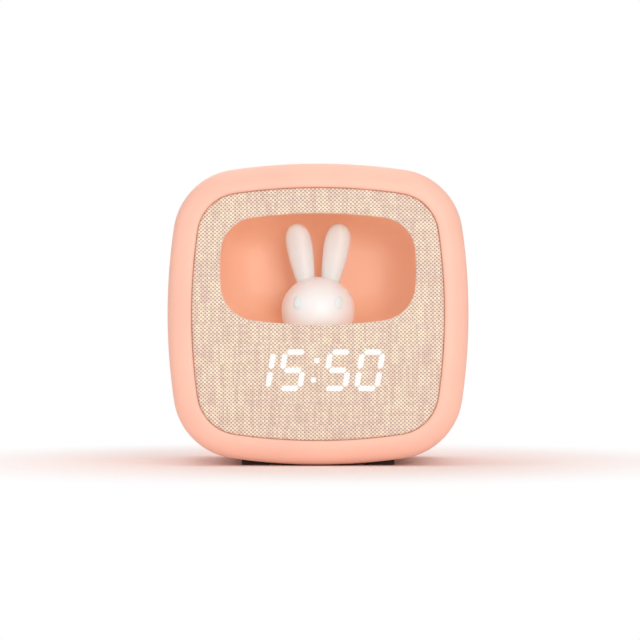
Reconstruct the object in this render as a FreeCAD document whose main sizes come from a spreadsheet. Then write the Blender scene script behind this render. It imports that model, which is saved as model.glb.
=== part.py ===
import FreeCAD, Part
import math
import os
import Sketcher

# Kids alarm clock with a night light: a crowned cube case, a cloth front with a window, a lit
# rabbit in a deep bowl, seven-segment digits behind the cloth, and keys, switch, charging
# socket and loudspeaker on the back.
# Frame: X to the right, Y to the back, Z up; the origin is under the case's centre, on the table.

doc = FreeCAD.newDocument("kids_alarm_clock")
sheet = doc.addObject("Spreadsheet::Sheet", "Sizes")


# Sizes: each driving dimension is one aliased cell, and every other size is a formula of cells.

class Size(float):
    """A number that remembers its formula over the sheet's cells."""

    def __new__(cls, value, text):
        size = super().__new__(cls, value)
        size.text = text
        return size

    def __add__(self, other):
        return Size(float(self) + float(other), f"({self.text} + {text_of(other)})")

    def __radd__(self, other):
        return Size(float(other) + float(self), f"({text_of(other)} + {self.text})")

    def __sub__(self, other):
        return Size(float(self) - float(other), f"({self.text} - {text_of(other)})")

    def __rsub__(self, other):
        return Size(float(other) - float(self), f"({text_of(other)} - {self.text})")

    def __mul__(self, other):
        return Size(float(self) * float(other), f"({self.text} * {text_of(other)})")

    def __rmul__(self, other):
        return Size(float(other) * float(self), f"({text_of(other)} * {self.text})")

    def __truediv__(self, other):
        return Size(float(self) / float(other), f"({self.text} / {text_of(other)})")

    def __neg__(self):
        return Size(-float(self), f"(0 - {self.text})")


def text_of(value):
    """The formula of a size, or the plain figure of a number."""
    return value.text if isinstance(value, Size) else f"{float(value):.6f}"


def size(alias, value):
    """Write one driving dimension into the sheet and return it."""
    row = size.count = getattr(size, "count", 0) + 1
    sheet.set(f"A{row}", alias)
    sheet.set(f"B{row}", str(value))
    sheet.setAlias(f"B{row}", alias)
    return Size(value, f"Sizes.{alias}")


def slope(angle):
    """The tangent of an angle in degrees."""
    return Size(math.tan(math.radians(angle)), f"tan({text_of(angle)})")


def root(value):
    """The square root of a size."""
    return Size(math.sqrt(value), f"sqrt({text_of(value)})")


# Case
case_width = size("case_width", 106.0)
case_height = size("case_height", 106.0)
case_depth = size("case_depth", 80.0)
side_crown = size("side_crown", 210.0)
case_corner = size("case_corner", 24.0)
wall = size("wall", 2.4)
foot_clearance = size("foot_clearance", 0.4)
front_depth = size("front_depth", 58.0)
front_roll = size("front_roll", 6.8)
back_roll = size("back_roll", 6.0)
rim_width = size("rim_width", 8.6)
lip_chamfer = size("lip_chamfer", 0.9)
seam_gap = size("seam_gap", 0.4)
tab_width = size("tab_width", 24.0)
tab_length = size("tab_length", 4.0)
tab_thickness = size("tab_thickness", 1.4)
tab_gap = size("tab_gap", 0.1)
boss_reach = size("boss_reach", 38.5)
boss_width = size("boss_width", 6.4)
post_width = size("post_width", 8.8)
post_floor = size("post_floor", 2.4)

# Cloth panel
panel_recess = size("panel_recess", 1.2)
fabric_thickness = size("fabric_thickness", 0.5)
fabric_gap = size("fabric_gap", 0.6)
carrier_thickness = size("carrier_thickness", 2.0)
ledge_width = size("ledge_width", 3.2)
ledge_thickness = size("ledge_thickness", 2.0)
ledge_length = size("ledge_length", 44.0)
hook_width = size("hook_width", 10.0)
hook_thickness = size("hook_thickness", 1.4)
hook_barb = size("hook_barb", 0.9)
hook_gap = size("hook_gap", 0.2)

# Window and bowl
window_width = size("window_width", 69.2)
window_height = size("window_height", 39.6)
window_crown = size("window_crown", 170.0)
window_side_crown = size("window_side_crown", 80.0)
window_corner = size("window_corner", 13.0)
window_rise = size("window_rise", 15.8)
bowl_depth = size("bowl_depth", 38.0)
bowl_roll = size("bowl_roll", 10.0)
bowl_wall = size("bowl_wall", 1.6)
bowl_step = size("bowl_step", 0.6)

# Rabbit
figure_set_back = size("figure_set_back", 18.5)
seat_height = size("seat_height", 0.6)
seat_relief = size("seat_relief", 0.3)
seat_width = size("seat_width", 17.0)
head_width = size("head_width", 26.0)
head_rise = size("head_rise", 6.3)
head_height = size("head_height", 11.6)
neck_width = size("neck_width", 14.0)
neck_wall = size("neck_wall", 2.0)
neck_gap = size("neck_gap", 0.1)
ear_length = size("ear_length", 26.0)
ear_width = size("ear_width", 8.8)
ear_base_width = size("ear_base_width", 5.2)
ear_widest = size("ear_widest", 17.0)
ear_lean = size("ear_lean", 9.0)
ear_spread = size("ear_spread", 3.9)
ear_foot = size("ear_foot", 7.6)
ear_thickness = size("ear_thickness", 5.4)
ear_edge = size("ear_edge", 2.4)
ear_tip_radius = size("ear_tip_radius", 3.0)
ear_peg = size("ear_peg", 2.4)
ear_peg_length = size("ear_peg_length", 7.0)
ear_peg_gap = size("ear_peg_gap", 0.05)
eye_spread = size("eye_spread", 7.4)
eye_rise = size("eye_rise", 1.9)
eye_width = size("eye_width", 2.4)
eye_height = size("eye_height", 4.2)
eye_relief = size("eye_relief", 0.35)
guide_width = size("guide_width", 24.0)
guide_depth = size("guide_depth", 18.0)
base_thickness = size("base_thickness", 2.2)
spigot_gap = size("spigot_gap", 0.1)
spigot_height = size("spigot_height", 4.0)

# Lamp board under the bowl
lamp_gap = size("lamp_gap", 0.3)
lamp_board_width = size("lamp_board_width", 36.0)
lamp_board_front = size("lamp_board_front", 7.0)
lamp_board_back = size("lamp_board_back", 13.0)
lamp_size = size("lamp_size", 3.5)
lamp_height = size("lamp_height", 1.6)
lamp_spread = size("lamp_spread", 6.0)
lamp_hook_width = size("lamp_hook_width", 6.0)

# Digit module
digit_height = size("digit_height", 14.2)
digit_width = size("digit_width", 8.6)
segment_width = size("segment_width", 1.5)
segment_gap = size("segment_gap", 0.2)
digit_slant = size("digit_slant", 9.5)
digit_pitch = size("digit_pitch", 11.2)
digit_split = size("digit_split", 7.9)
colon_spread = size("colon_spread", 6.8)
display_shift = size("display_shift", 1.0)
display_drop = size("display_drop", 19.7)
reflector_width = size("reflector_width", 50.4)
reflector_height = size("reflector_height", 19.0)
reflector_depth = size("reflector_depth", 7.0)
segment_depth = size("segment_depth", 3.0)
board_thickness = size("board_thickness", 1.6)
display_gap = size("display_gap", 0.2)
display_board_width = size("display_board_width", 64.0)
display_board_height = size("display_board_height", 20.0)
display_hook_width = size("display_hook_width", 6.0)

# Main board, keys and sockets
key_width = size("key_width", 8.0)
key_height = size("key_height", 5.0)
key_gap = size("key_gap", 0.25)
key_pitch = size("key_pitch", 11.0)
key_drop = size("key_drop", 9.0)
key_proud = size("key_proud", 0.9)
key_flange = size("key_flange", 1.0)
key_flange_thickness = size("key_flange_thickness", 1.0)
key_rest = size("key_rest", 0.2)
key_travel = size("key_travel", 0.5)
stem_size = size("stem_size", 3.0)
control_recess = size("control_recess", 1.2)
control_width = size("control_width", 68.0)
control_height = size("control_height", 32.0)
control_drop = size("control_drop", 18.0)
socket_drop = size("socket_drop", 26.0)
board_back_gap = size("board_back_gap", 13.2)
main_board_width = size("main_board_width", 68.0)
main_board_height = size("main_board_height", 34.0)
board_post_across = size("board_post_across", 31.0)
board_post_rise = size("board_post_rise", 13.0)
board_post_size = size("board_post_size", 5.0)
board_hook_width = size("board_hook_width", 8.0)
board_hook_gap = size("board_hook_gap", 0.2)
tact_size = size("tact_size", 6.0)
tact_height = size("tact_height", 3.6)
plunger_size = size("plunger_size", 3.0)
plunger_proud = size("plunger_proud", 0.9)
plunger_gap = size("plunger_gap", 0.1)
plunger_stroke_room = size("plunger_stroke_room", 0.3)
plunger_hidden = size("plunger_hidden", 0.8)
socket_across = size("socket_across", 10.0)
plug_pocket_width = size("plug_pocket_width", 13.6)
plug_pocket_height = size("plug_pocket_height", 7.6)
plug_pocket_depth = size("plug_pocket_depth", 5.0)
pocket_wall = size("pocket_wall", 1.6)
usb_width = size("usb_width", 8.94)
usb_height = size("usb_height", 3.26)
usb_sheet = size("usb_sheet", 0.3)
usb_floor = size("usb_floor", 0.8)
usb_gap = size("usb_gap", 0.15)
usb_tongue_width = size("usb_tongue_width", 6.7)
usb_tongue_height = size("usb_tongue_height", 0.7)
usb_tongue_back = size("usb_tongue_back", 0.9)
switch_across = size("switch_across", -20.0)
switch_travel = size("switch_travel", 3.0)
switch_knob_width = size("switch_knob_width", 3.6)
switch_knob_height = size("switch_knob_height", 2.4)
switch_knob_proud = size("switch_knob_proud", 0.6)
switch_gap = size("switch_gap", 0.2)
switch_stem_width = size("switch_stem_width", 2.0)
switch_stem_height = size("switch_stem_height", 1.2)
switch_stem_depth = size("switch_stem_depth", 1.6)
switch_body_width = size("switch_body_width", 12.0)
switch_body_height = size("switch_body_height", 5.6)
switch_body_depth = size("switch_body_depth", 4.4)
chip_size = size("chip_size", 9.0)
chip_height = size("chip_height", 1.2)
connector_depth = size("connector_depth", 3.0)
connector_height = size("connector_height", 3.4)

# Loudspeaker
speaker_width = size("speaker_width", 28.0)
speaker_rise = size("speaker_rise", 17.0)
speaker_flange_thickness = size("speaker_flange_thickness", 1.2)
speaker_depth = size("speaker_depth", 6.8)
speaker_can_width = size("speaker_can_width", 20.0)
speaker_sheet = size("speaker_sheet", 1.0)
magnet_width = size("magnet_width", 13.0)
magnet_depth = size("magnet_depth", 4.6)
diaphragm_width = size("diaphragm_width", 24.0)
diaphragm_gap = size("diaphragm_gap", 0.1)
diaphragm_sheet = size("diaphragm_sheet", 0.5)
clip_width = size("clip_width", 6.0)
clip_thickness = size("clip_thickness", 1.4)
clip_height = size("clip_height", 4.0)
clip_gap = size("clip_gap", 0.1)
grille_slot = size("grille_slot", 2.0)
grille_pitch = size("grille_pitch", 4.0)
grille_radius = size("grille_radius", 12.0)

# Cell and cradle
cell_radius = size("cell_radius", 9.2)
cell_length = size("cell_length", 65.0)
cell_rise = size("cell_rise", 16.6)
cell_back = size("cell_back", 36.0)
cell_gap = size("cell_gap", 0.2)
cradle_reach = size("cradle_reach", 22.0)
cradle_rib = size("cradle_rib", 2.4)
strap_width = size("strap_width", 10.0)
strap_thickness = size("strap_thickness", 1.6)
strap_foot = size("strap_foot", 6.0)
strap_peg = size("strap_peg", 3.0)
strap_peg_gap = size("strap_peg_gap", 0.05)

# Feet, screws and leads
foot_width = size("foot_width", 10.0)
foot_depth = size("foot_depth", 6.0)
foot_socket = size("foot_socket", 0.8)
foot_gap = size("foot_gap", 0.1)
foot_reach = size("foot_reach", 22.0)
front_foot_inset = size("front_foot_inset", 14.0)
rear_foot_inset = size("rear_foot_inset", 7.6)
case_screw_length = size("case_screw_length", 12.0)
case_screw_radius = size("case_screw_radius", 1.45)
case_screw_head = size("case_screw_head", 2.7)
case_screw_cap = size("case_screw_cap", 1.9)
screw_gap = size("screw_gap", 0.2)
lead_width = size("lead_width", 2.6)
lead_thickness = size("lead_thickness", 1.2)
lead_bend = size("lead_bend", 2.0)
ribbon_width = size("ribbon_width", 12.0)
ribbon_thickness = size("ribbon_thickness", 0.4)
ribbon_bend = size("ribbon_bend", 5.0)
ribbon_slack = size("ribbon_slack", 3.0)
doc.recompute()


# Stations along Y, from the front to the back

front_y = -case_depth / 2
back_y = case_depth / 2
split_y = front_y + front_depth
cover_y = split_y + seam_gap
cloth_y = front_y + panel_recess
carrier_y = cloth_y + fabric_thickness
carrier_back_y = carrier_y + carrier_thickness
ledge_y = carrier_back_y
ledge_back_y = ledge_y + ledge_thickness
bowl_y = front_y + bowl_depth
figure_y = front_y + figure_set_back
cell_y = front_y + cell_back
display_board_y = carrier_y + reflector_depth
display_back_y = display_board_y + board_thickness
inner_back_y = back_y - wall
recess_y = back_y - control_recess
key_seat_y = inner_back_y - control_recess
board_back_y = back_y - board_back_gap
board_y = board_back_y - board_thickness
tact_y = board_back_y + tact_height
stem_y = tact_y + plunger_proud
boss_end_y = split_y + post_floor
post_floor_y = boss_end_y + post_floor
pocket_floor_y = recess_y - plug_pocket_depth
pocket_back_y = pocket_floor_y - pocket_wall
front_foot_y = front_y + front_foot_inset
rear_foot_y = cover_y + rear_foot_inset
magnet_y = inner_back_y - speaker_depth

# Heights
middle_z = foot_clearance + case_height / 2
window_z = middle_z + window_rise
floor_z = window_z - window_height / 2 - bowl_step
floor_under_z = floor_z - bowl_wall - seat_relief
seat_z = floor_z + seat_height
head_z = floor_z + head_rise
base_z = floor_under_z - base_thickness
lamp_board_z = base_z - lamp_gap - lamp_height
lamp_under_z = lamp_board_z - board_thickness
display_z = middle_z - display_drop
key_z = middle_z - key_drop
socket_z = middle_z - socket_drop
control_z = middle_z - control_drop
speaker_z = middle_z + speaker_rise
foot_sag = foot_reach * foot_reach / (2 * side_crown)
foot_seat_z = foot_clearance + foot_sag + foot_socket


# Sketching helpers

def bind(thing, path, value):
    """Drive a property or constraint from the sheet when its value is a formula."""
    if isinstance(value, Size):
        thing.setExpression(path, value.text)


class Drawing:
    """Collects the geometry and constraints of one sketch and adds them in one go."""

    def __init__(self):
        self.geometry = []
        self.rules = []
        self.driven = []

    def add(self, curve):
        self.geometry.append(curve)
        return len(self.geometry) - 1

    def rule(self, *terms, drive=None):
        if drive is not None:
            self.driven.append((len(self.rules), drive))
        self.rules.append(Sketcher.Constraint(*terms))

    def locate(self, index, point, x, z):
        self.rule("DistanceX", -1, 1, index, point, float(x), drive=x)
        self.rule("DistanceY", -1, 1, index, point, float(z), drive=z)

    def line(self, start, end):
        return self.add(Part.LineSegment(at(*start), at(*end)))

    def arc(self, centre, radius, first, last):
        curve = Part.ArcOfCircle(Part.Circle(at(*centre), UP, float(radius)), first, last)
        return self.add(curve)

    def circle(self, radius, x=0.0, z=0.0):
        index = self.add(Part.Circle(at(x, z), UP, float(radius)))
        self.rule("Radius", index, float(radius), drive=radius)
        self.locate(index, 3, x, z)

    def outline(self, points, arcs):
        """A closed run of lines, with an arc wherever arcs names a start's centre and radius."""
        count = len(points)
        first = len(self.geometry)
        for i, start in enumerate(points):
            end = points[(i + 1) % count]
            if i in arcs:
                centre, radius = arcs[i]
                begin = math.atan2(start[1] - centre[1], start[0] - centre[0])
                index = self.arc(centre, radius, begin,
                                 math.atan2(end[1] - centre[1], end[0] - centre[0]))
                self.rule("Radius", index, float(radius), drive=radius)
            else:
                self.line(start, end)
        for i in range(count):
            self.rule("Coincident", first + i, 2, first + (i + 1) % count, 1)
            self.locate(first + i, 1, *points[i])

    def box(self, width, height, x=0.0, z=0.0):
        left, right = x - width / 2, x + width / 2
        low, high = z - height / 2, z + height / 2
        corners = [(left, low), (right, low), (right, high), (left, high)]
        first = len(self.geometry)
        for i in range(4):
            self.line(corners[i], corners[(i + 1) % 4])
            self.rule("Coincident", first + i, 2, first + (i + 1) % 4, 1)
            self.rule("Vertical" if i % 2 else "Horizontal", first + i)
        self.locate(first, 1, left, low)
        self.locate(first + 2, 1, right, high)

    def stadium(self, width, height, x=0.0, z=0.0):
        radius = height / 2
        right, left = x + width / 2 - radius, x - width / 2 + radius
        end = self.arc((right, z), radius, -math.pi / 2, math.pi / 2)
        top = self.line((right, z + radius), (left, z + radius))
        start = self.arc((left, z), radius, math.pi / 2, 1.5 * math.pi)
        low = self.line((left, z - radius), (right, z - radius))
        for a, b in ((end, top), (top, start), (start, low), (low, end)):
            self.rule("Tangent", a, 2, b, 1)
        self.rule("Radius", end, float(radius), drive=radius)
        self.locate(end, 3, right, z)
        self.locate(start, 3, left, z)

    def crowned(self, outline):
        """Four crowned sides and four round corners: eight arcs, tangent end to end."""
        half_x, half_z, side, top, corner = outline
        cx, cz = corner_centre(outline)
        low = math.atan2(cz, cx - (half_x - side))
        high = math.atan2(cz - (half_z - top), cx)
        turn = math.pi
        arcs = [((half_x - side, 0.0), side, -low, low),
                ((cx, cz), corner, low, high),
                ((0.0, half_z - top), top, high, turn - high),
                ((-cx, cz), corner, turn - high, turn - low),
                ((side - half_x, 0.0), side, turn - low, turn + low),
                ((-cx, -cz), corner, turn + low, turn + high),
                ((0.0, top - half_z), top, turn + high, 2 * turn - high),
                ((cx, -cz), corner, 2 * turn - high, 2 * turn - low)]
        first = len(self.geometry)
        for centre, radius, start, end in arcs:
            index = self.arc(centre, radius, start, end)
            self.rule("Radius", index, float(radius), drive=radius)
            if radius is not corner:
                self.locate(index, 3, *centre)
        for i in range(8):
            self.rule("Tangent", first + i, 2, first + (i + 1) % 8, 1)

    def write(self, sketch):
        sketch.addGeometry(self.geometry, False)
        sketch.addConstraint(self.rules)
        for index, value in self.driven:
            if isinstance(value, Size):
                sketch.renameConstraint(index, f"size{index}")
                bind(sketch, f"Constraints.size{index}", value)


UP = FreeCAD.Vector(0, 0, 1)


def at(x, z):
    """A point of a sketch."""
    return FreeCAD.Vector(float(x), float(z), 0)


def corner_centre(outline):
    """Where the round corner's centre lies, so that the corner touches both crowned sides."""
    half_x, half_z, side, top, corner = (float(value) for value in outline)
    x1, z1, r1 = 0.0, half_z - top, top - corner
    x2, z2, r2 = half_x - side, 0.0, side - corner
    dx, dz = x2 - x1, z2 - z1
    gap = math.hypot(dx, dz)
    along = (r1 * r1 - r2 * r2 + gap * gap) / (2 * gap)
    across = math.sqrt(r1 * r1 - along * along)
    xm, zm = x1 + along * dx / gap, z1 + along * dz / gap
    first = (xm + across * dz / gap, zm - across * dx / gap)
    second = (xm - across * dz / gap, zm + across * dx / gap)
    return max(first, second, key=sum)


def inset(outline, by):
    """The same outline drawn in by a distance all round, or let out when it is negative."""
    return [value - by for value in outline]


case_outline = [case_width / 2, case_height / 2, side_crown, side_crown, case_corner]
window_outline = [window_width / 2, window_height / 2, window_side_crown, window_crown,
                  window_corner]

# Each origin plane with the side that its sketches face
PLANES = {"XY": ("XY_Plane", 1), "XZ": ("XZ_Plane", -1), "YZ": ("YZ_Plane", 1)}
parts = []


def new_body(name):
    """One sub-part as a body of its own; its label names its file."""
    body = doc.addObject("PartDesign::Body", name)
    body.Label = name
    body.AllowCompound = True
    parts.append(body)
    return body


def new_sketch(body, name, plane, start, centre, drawing, turn=0.0):
    """A sketch on one of the body's origin planes, moved to its station, centre and angle."""
    role, facing = PLANES[plane]
    sketch = body.newObject("Sketcher::SketchObject", name + "_sketch")
    support = next(f for f in body.Origin.OriginFeatures if f.Role == role)
    sketch.AttachmentSupport = (support, "")
    sketch.MapMode = "FlatFace"
    shift = (centre[0], centre[1], facing * start)
    sketch.AttachmentOffset = FreeCAD.Placement(FreeCAD.Vector(*map(float, shift)),
                                                FreeCAD.Rotation(UP, float(turn)))
    for axis, value in zip("xyz", shift):
        bind(sketch, f"AttachmentOffset.Base.{axis}", value)
    bind(sketch, "AttachmentOffset.Rotation.Angle", turn)
    drawing.write(sketch)
    return sketch


def extrude(body, kind, name, plane, start, end, draw, centre=(0.0, 0.0), turn=0.0):
    """Pad or pocket a drawing from one station to another along the plane's axis."""
    drawing = Drawing()
    draw(drawing)
    sketch = new_sketch(body, name, plane, start, centre, drawing, turn)
    before = body.Tip.Shape.Volume if body.Tip else 0.0
    feature = body.newObject(f"PartDesign::{kind}", name)
    feature.Profile = sketch
    feature.Length = float(end - start)
    bind(feature, "Length", end - start)
    faces_back = PLANES[plane][1] < 0
    feature.Reversed = faces_back if kind == "Pad" else not faces_back
    return finish(body, feature, kind == "Pad", before)


def revolve(body, kind, name, plane, start, centre, points, turn=0.0):
    """Turn a closed outline about Y on the side plane, or about its upright axis in front."""
    drawing = Drawing()
    drawing.outline(points, {})
    sketch = new_sketch(body, name, plane, start, centre, drawing, turn)
    before = body.Tip.Shape.Volume if body.Tip else 0.0
    feature = body.newObject(f"PartDesign::{kind}", name)
    feature.Profile = sketch
    feature.ReferenceAxis = (sketch, ["H_Axis" if plane == "YZ" else "V_Axis"])
    feature.Angle = 360.0
    return finish(body, feature, kind == "Revolution", before)


def finish(body, feature, adds, before):
    """Recompute, and stop if the feature failed or changed nothing."""
    feature.Profile[0].recompute()
    feature.recompute()
    after = feature.Shape.Volume
    changed = after > before if adds else after < before
    if "Invalid" in feature.State or not feature.isValid() or not changed:
        raise RuntimeError(f"{body.Label}: {feature.Name} {feature.State} {before} {after}")
    return feature


def pad(body, name, plane, start, end, draw, *place):
    return extrude(body, "Pad", name, plane, start, end, draw, *place)


def pocket(body, name, plane, start, end, draw, *place):
    return extrude(body, "Pocket", name, plane, start, end, draw, *place)


def edges_in_plane(feature, axis, station, keep=None):
    """Names of the edges that lie in a plane across an axis, optionally only those kept."""
    names = []
    for i, edge in enumerate(feature.Shape.Edges):
        box = edge.BoundBox
        low, high = getattr(box, axis + "Min"), getattr(box, axis + "Max")
        flat = abs(low - float(station)) < 1e-4 and abs(high - float(station)) < 1e-4
        if flat and (keep is None or keep(box)):
            names.append(f"Edge{i + 1}")
    return names


def soften(body, kind, name, amount, axis, station, keep=None):
    """Fillet or chamfer the edges of the body's last feature that lie in one plane."""
    base = body.Tip
    feature = body.newObject(f"PartDesign::{kind}", name)
    feature.Base = (base, edges_in_plane(base, axis, station, keep))
    path = "Radius" if kind == "Fillet" else "Size"
    setattr(feature, path, float(amount))
    bind(feature, path, amount)
    feature.recompute()
    if "Invalid" in feature.State or not feature.isValid() or not feature.Shape.isValid():
        raise RuntimeError(f"{body.Label}: {name} {feature.State}")
    return feature


ROLL_MIDDLE = 2 - math.sqrt(2)
ROLL_SIDE = math.tan(math.radians(22.5)) - math.tan(math.radians(11.25))


def roll(body, name, radius, axis, station, inward):
    """A soft edge of three flats that touch a quarter circle of this radius."""
    soften(body, "Chamfer", name + "_middle", radius * ROLL_MIDDLE, axis, station)
    reach = station + inward * (radius * ROLL_MIDDLE)
    soften(body, "Chamfer", name + "_face", radius * ROLL_SIDE, axis, station)
    soften(body, "Chamfer", name + "_side", radius * ROLL_SIDE, axis, reach)


def corners(reach):
    """Four places, one in each quarter."""
    return [(sx * reach, sz * reach) for sx in (-1, 1) for sz in (-1, 1)]


def circles(radius, places):
    """A drawing of equal circles."""
    def draw(drawing):
        for x, z in places:
            drawing.circle(radius, x, z)
    return draw


def boxes(width, height, places):
    """A drawing of equal boxes."""
    def draw(drawing):
        for x, z in places:
            drawing.box(width, height, x, z)
    return draw


# Front shell: the crowned case from the rolled rim back to the seam. The rim is a deep well for
# the cloth panel, which sits on four ledges. Two long bosses take the case screws, ribs cradle
# the cell, and sockets under it hold the front feet.

mid = (0.0, middle_z)
opening_half_x = case_width / 2 - rim_width
opening_half_z = case_height / 2 - rim_width
cell_fold = math.tan(math.radians(22.5))
strap_reach = cell_radius + cell_gap + strap_thickness + strap_foot / 2
front_feet = [(-foot_reach, front_foot_y), (foot_reach, front_foot_y)]
rear_feet = [(-foot_reach, rear_foot_y), (foot_reach, rear_foot_y)]
strap_pegs = [(0.0, cell_y - strap_reach), (0.0, cell_y + strap_reach)]
screw_places = [(-boss_reach, -boss_reach), (boss_reach, -boss_reach)]


def bars(inner, thickness, length):
    """Four bars along the middles of a frame's sides, from an inner reach outwards."""
    def draw(drawing):
        for side in (-1, 1):
            drawing.box(length, thickness, 0.0, side * (inner[1] + thickness / 2))
            drawing.box(thickness, length, side * (inner[0] + thickness / 2), 0.0)
    return draw


def cell_bed(drawing):
    """Half an octagon under the cell, whose flats it rests against."""
    reach = cell_radius + cell_gap
    corner = reach * cell_fold
    drawing.outline([(-reach, 0.0), (-reach, -corner), (-corner, -reach), (corner, -reach),
                     (reach, -corner), (reach, 0.0)], {})


def front_shell():
    body = new_body("front_shell")
    pad(body, "case", "XZ", front_y, split_y, lambda d: d.crowned(case_outline), mid)
    roll(body, "rim_roll", front_roll, "Y", front_y, 1)
    pocket(body, "hollow", "XZ", ledge_back_y, split_y,
           lambda d: d.crowned(inset(case_outline, wall)), mid)
    pocket(body, "well", "XZ", front_y, ledge_back_y,
           lambda d: d.crowned(inset(case_outline, rim_width)), mid)
    soften(body, "Chamfer", "lip", lip_chamfer, "Y", front_y,
           lambda box: max(abs(box.XMin), abs(box.XMax)) < opening_half_x + lip_chamfer / 2)
    ledge = (opening_half_x - ledge_width, opening_half_z - ledge_width)
    pad(body, "ledges", "XZ", ledge_y, ledge_back_y,
        bars(ledge, ledge_width + wall / 2, ledge_length), mid)
    pad(body, "bosses", "XZ", ledge_back_y - ledge_thickness / 2, boss_end_y,
        boxes(boss_width, boss_width, screw_places), mid)
    pocket(body, "pilots", "XZ", boss_end_y - case_screw_length, boss_end_y,
           circles(case_screw_radius, screw_places), mid)
    rib_low = foot_clearance + cradle_reach * cradle_reach / (2 * side_crown) + wall / 2
    rib_height = cell_rise - rib_low
    for name, side in (("cradle_left", -1), ("cradle_right", 1)):
        place = side * cradle_reach - cradle_rib / 2
        pad(body, name, "YZ", place, place + cradle_rib,
            lambda d: d.box(2 * (cell_radius + wall), rib_height), (cell_y, rib_low + rib_height / 2))
    low = foot_clearance + wall / 2
    pad(body, "cradle_middle", "YZ", -strap_width / 2, strap_width / 2,
        lambda d: d.box(2 * strap_reach + strap_foot, cell_rise - low), (cell_y, (cell_rise + low) / 2))
    pocket(body, "cell_seat", "YZ", -cell_length / 2, cell_length / 2, cell_bed,
           (cell_y, cell_rise))
    peg_room = strap_peg + 2 * strap_peg_gap
    pocket(body, "strap_sockets", "XY", cell_rise - strap_peg, cell_rise,
           boxes(peg_room, peg_room, strap_pegs))
    pocket(body, "foot_sockets", "XY", foot_clearance, foot_seat_z,
           boxes(foot_width + 2 * foot_gap, foot_depth + 2 * foot_gap, front_feet))


# Rear cover: closes the case. Four tabs slide into the front shell and line it up, and a fine
# seam stays between them. The back carries the grille, the control recess with its key holes,
# the slide switch's slot and the charging socket's plug pocket, and posts for the case screws.

key_names = ("set", "up", "down", "alarm", "light")
key_places = [(step * key_pitch, key_z) for step in (-2, -1, 0, 1, 2)]
post_places = [(sx * board_post_across, sz * board_post_rise) for sx in (-1, 1) for sz in (-1, 1)]
switch_rest_x = switch_across - switch_travel / 2


def grille_slots(drawing):
    """Level slots with pointed ends that follow a circle."""
    rows = int(float(grille_radius) / float(grille_pitch) + 0.5)
    edge = grille_slot / 2
    for row in range(-rows + 1, rows):
        rise = row * grille_pitch
        half = root(grille_radius * grille_radius - rise * rise)
        drawing.outline([(-half, rise), (edge - half, rise - edge), (half - edge, rise - edge),
                         (half, rise), (half - edge, rise + edge), (edge - half, rise + edge)], {})


def rear_cover():
    body = new_body("rear_cover")
    pad(body, "cover", "XZ", cover_y, back_y, lambda d: d.crowned(case_outline), mid)
    pocket(body, "hollow", "XZ", cover_y, inner_back_y,
           lambda d: d.crowned(inset(case_outline, wall)), mid)
    roll(body, "back_roll", back_roll, "Y", back_y, -1)
    tab_inset = wall + tab_gap + tab_width * tab_width / (8 * side_crown)
    reach = (case_width / 2 - tab_inset - tab_thickness, case_height / 2 - tab_inset - tab_thickness)
    pad(body, "tabs", "XZ", split_y - tab_length, cover_y + tab_length,
        bars(reach, tab_thickness, tab_width), mid)
    pad(body, "tab_roots", "XZ", cover_y, cover_y + tab_length,
        bars(reach, tab_thickness + wall / 2, tab_width), mid)
    pad(body, "screw_posts", "XZ", boss_end_y, inner_back_y,
        boxes(post_width, post_width, screw_places), mid)
    pocket(body, "screw_holes", "XZ", boss_end_y, post_floor_y,
           circles(case_screw_radius + screw_gap, screw_places), mid)
    pocket(body, "counterbores", "XZ", post_floor_y, back_y,
           circles(case_screw_head + screw_gap, screw_places), mid)

    panel = (0.0, control_z)
    pad(body, "control_floor", "XZ", key_seat_y, inner_back_y,
        lambda d: d.box(control_width, control_height), panel)
    pocket(body, "control_recess", "XZ", recess_y, back_y,
           lambda d: d.box(control_width - 2 * wall, control_height - 2 * wall), panel)
    pocket(body, "key_holes", "XZ", key_seat_y, recess_y,
           boxes(key_width + 2 * key_gap, key_height + 2 * key_gap, key_places))

    socket = [(socket_across, socket_z)]
    pad(body, "pocket_walls", "XZ", pocket_back_y, key_seat_y,
        boxes(plug_pocket_width + 2 * pocket_wall, plug_pocket_height + 2 * pocket_wall, socket))
    pocket(body, "plug_pocket", "XZ", pocket_floor_y, recess_y,
           boxes(plug_pocket_width, plug_pocket_height, socket))
    pocket(body, "socket_mouth", "XZ", pocket_back_y, pocket_floor_y,
           boxes(usb_width + 2 * usb_gap, usb_height + 2 * usb_gap, socket))
    pocket(body, "switch_slot", "XZ", key_seat_y, recess_y,
           lambda d: d.box(switch_knob_width + switch_travel + 2 * switch_gap,
                           switch_knob_height + 2 * switch_gap), (switch_across, socket_z))
    pad(body, "board_posts", "XZ", board_back_y, inner_back_y,
        boxes(board_post_size, board_post_size, post_places), (0.0, control_z))
    stem = main_board_width / 2 + board_hook_gap + hook_thickness / 2
    pad(body, "board_stems", "XZ", board_y, inner_back_y,
        boxes(hook_thickness, board_hook_width, [(-stem, 0.0), (stem, 0.0)]), (0.0, control_z))
    barb = stem - hook_barb / 2
    pad(body, "board_barbs", "XZ", board_y - hook_thickness, board_y,
        boxes(hook_thickness + hook_barb, board_hook_width, [(-barb, 0.0), (barb, 0.0)]),
        (0.0, control_z))

    speaker = (0.0, speaker_z)
    clip = (speaker_width / 2 + clip_gap, speaker_width / 2 + clip_gap)
    pad(body, "speaker_clips", "XZ", inner_back_y - clip_height, inner_back_y,
        bars(clip, clip_thickness, clip_width), speaker)
    pocket(body, "grille", "XZ", inner_back_y, back_y, grille_slots, speaker)
    pocket(body, "foot_sockets", "XY", foot_clearance, foot_seat_z,
           boxes(foot_width + 2 * foot_gap, foot_depth + 2 * foot_gap, rear_feet))


# Cloth: one woven sheet laminated to the panel's face, with the window cut out of it.

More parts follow.
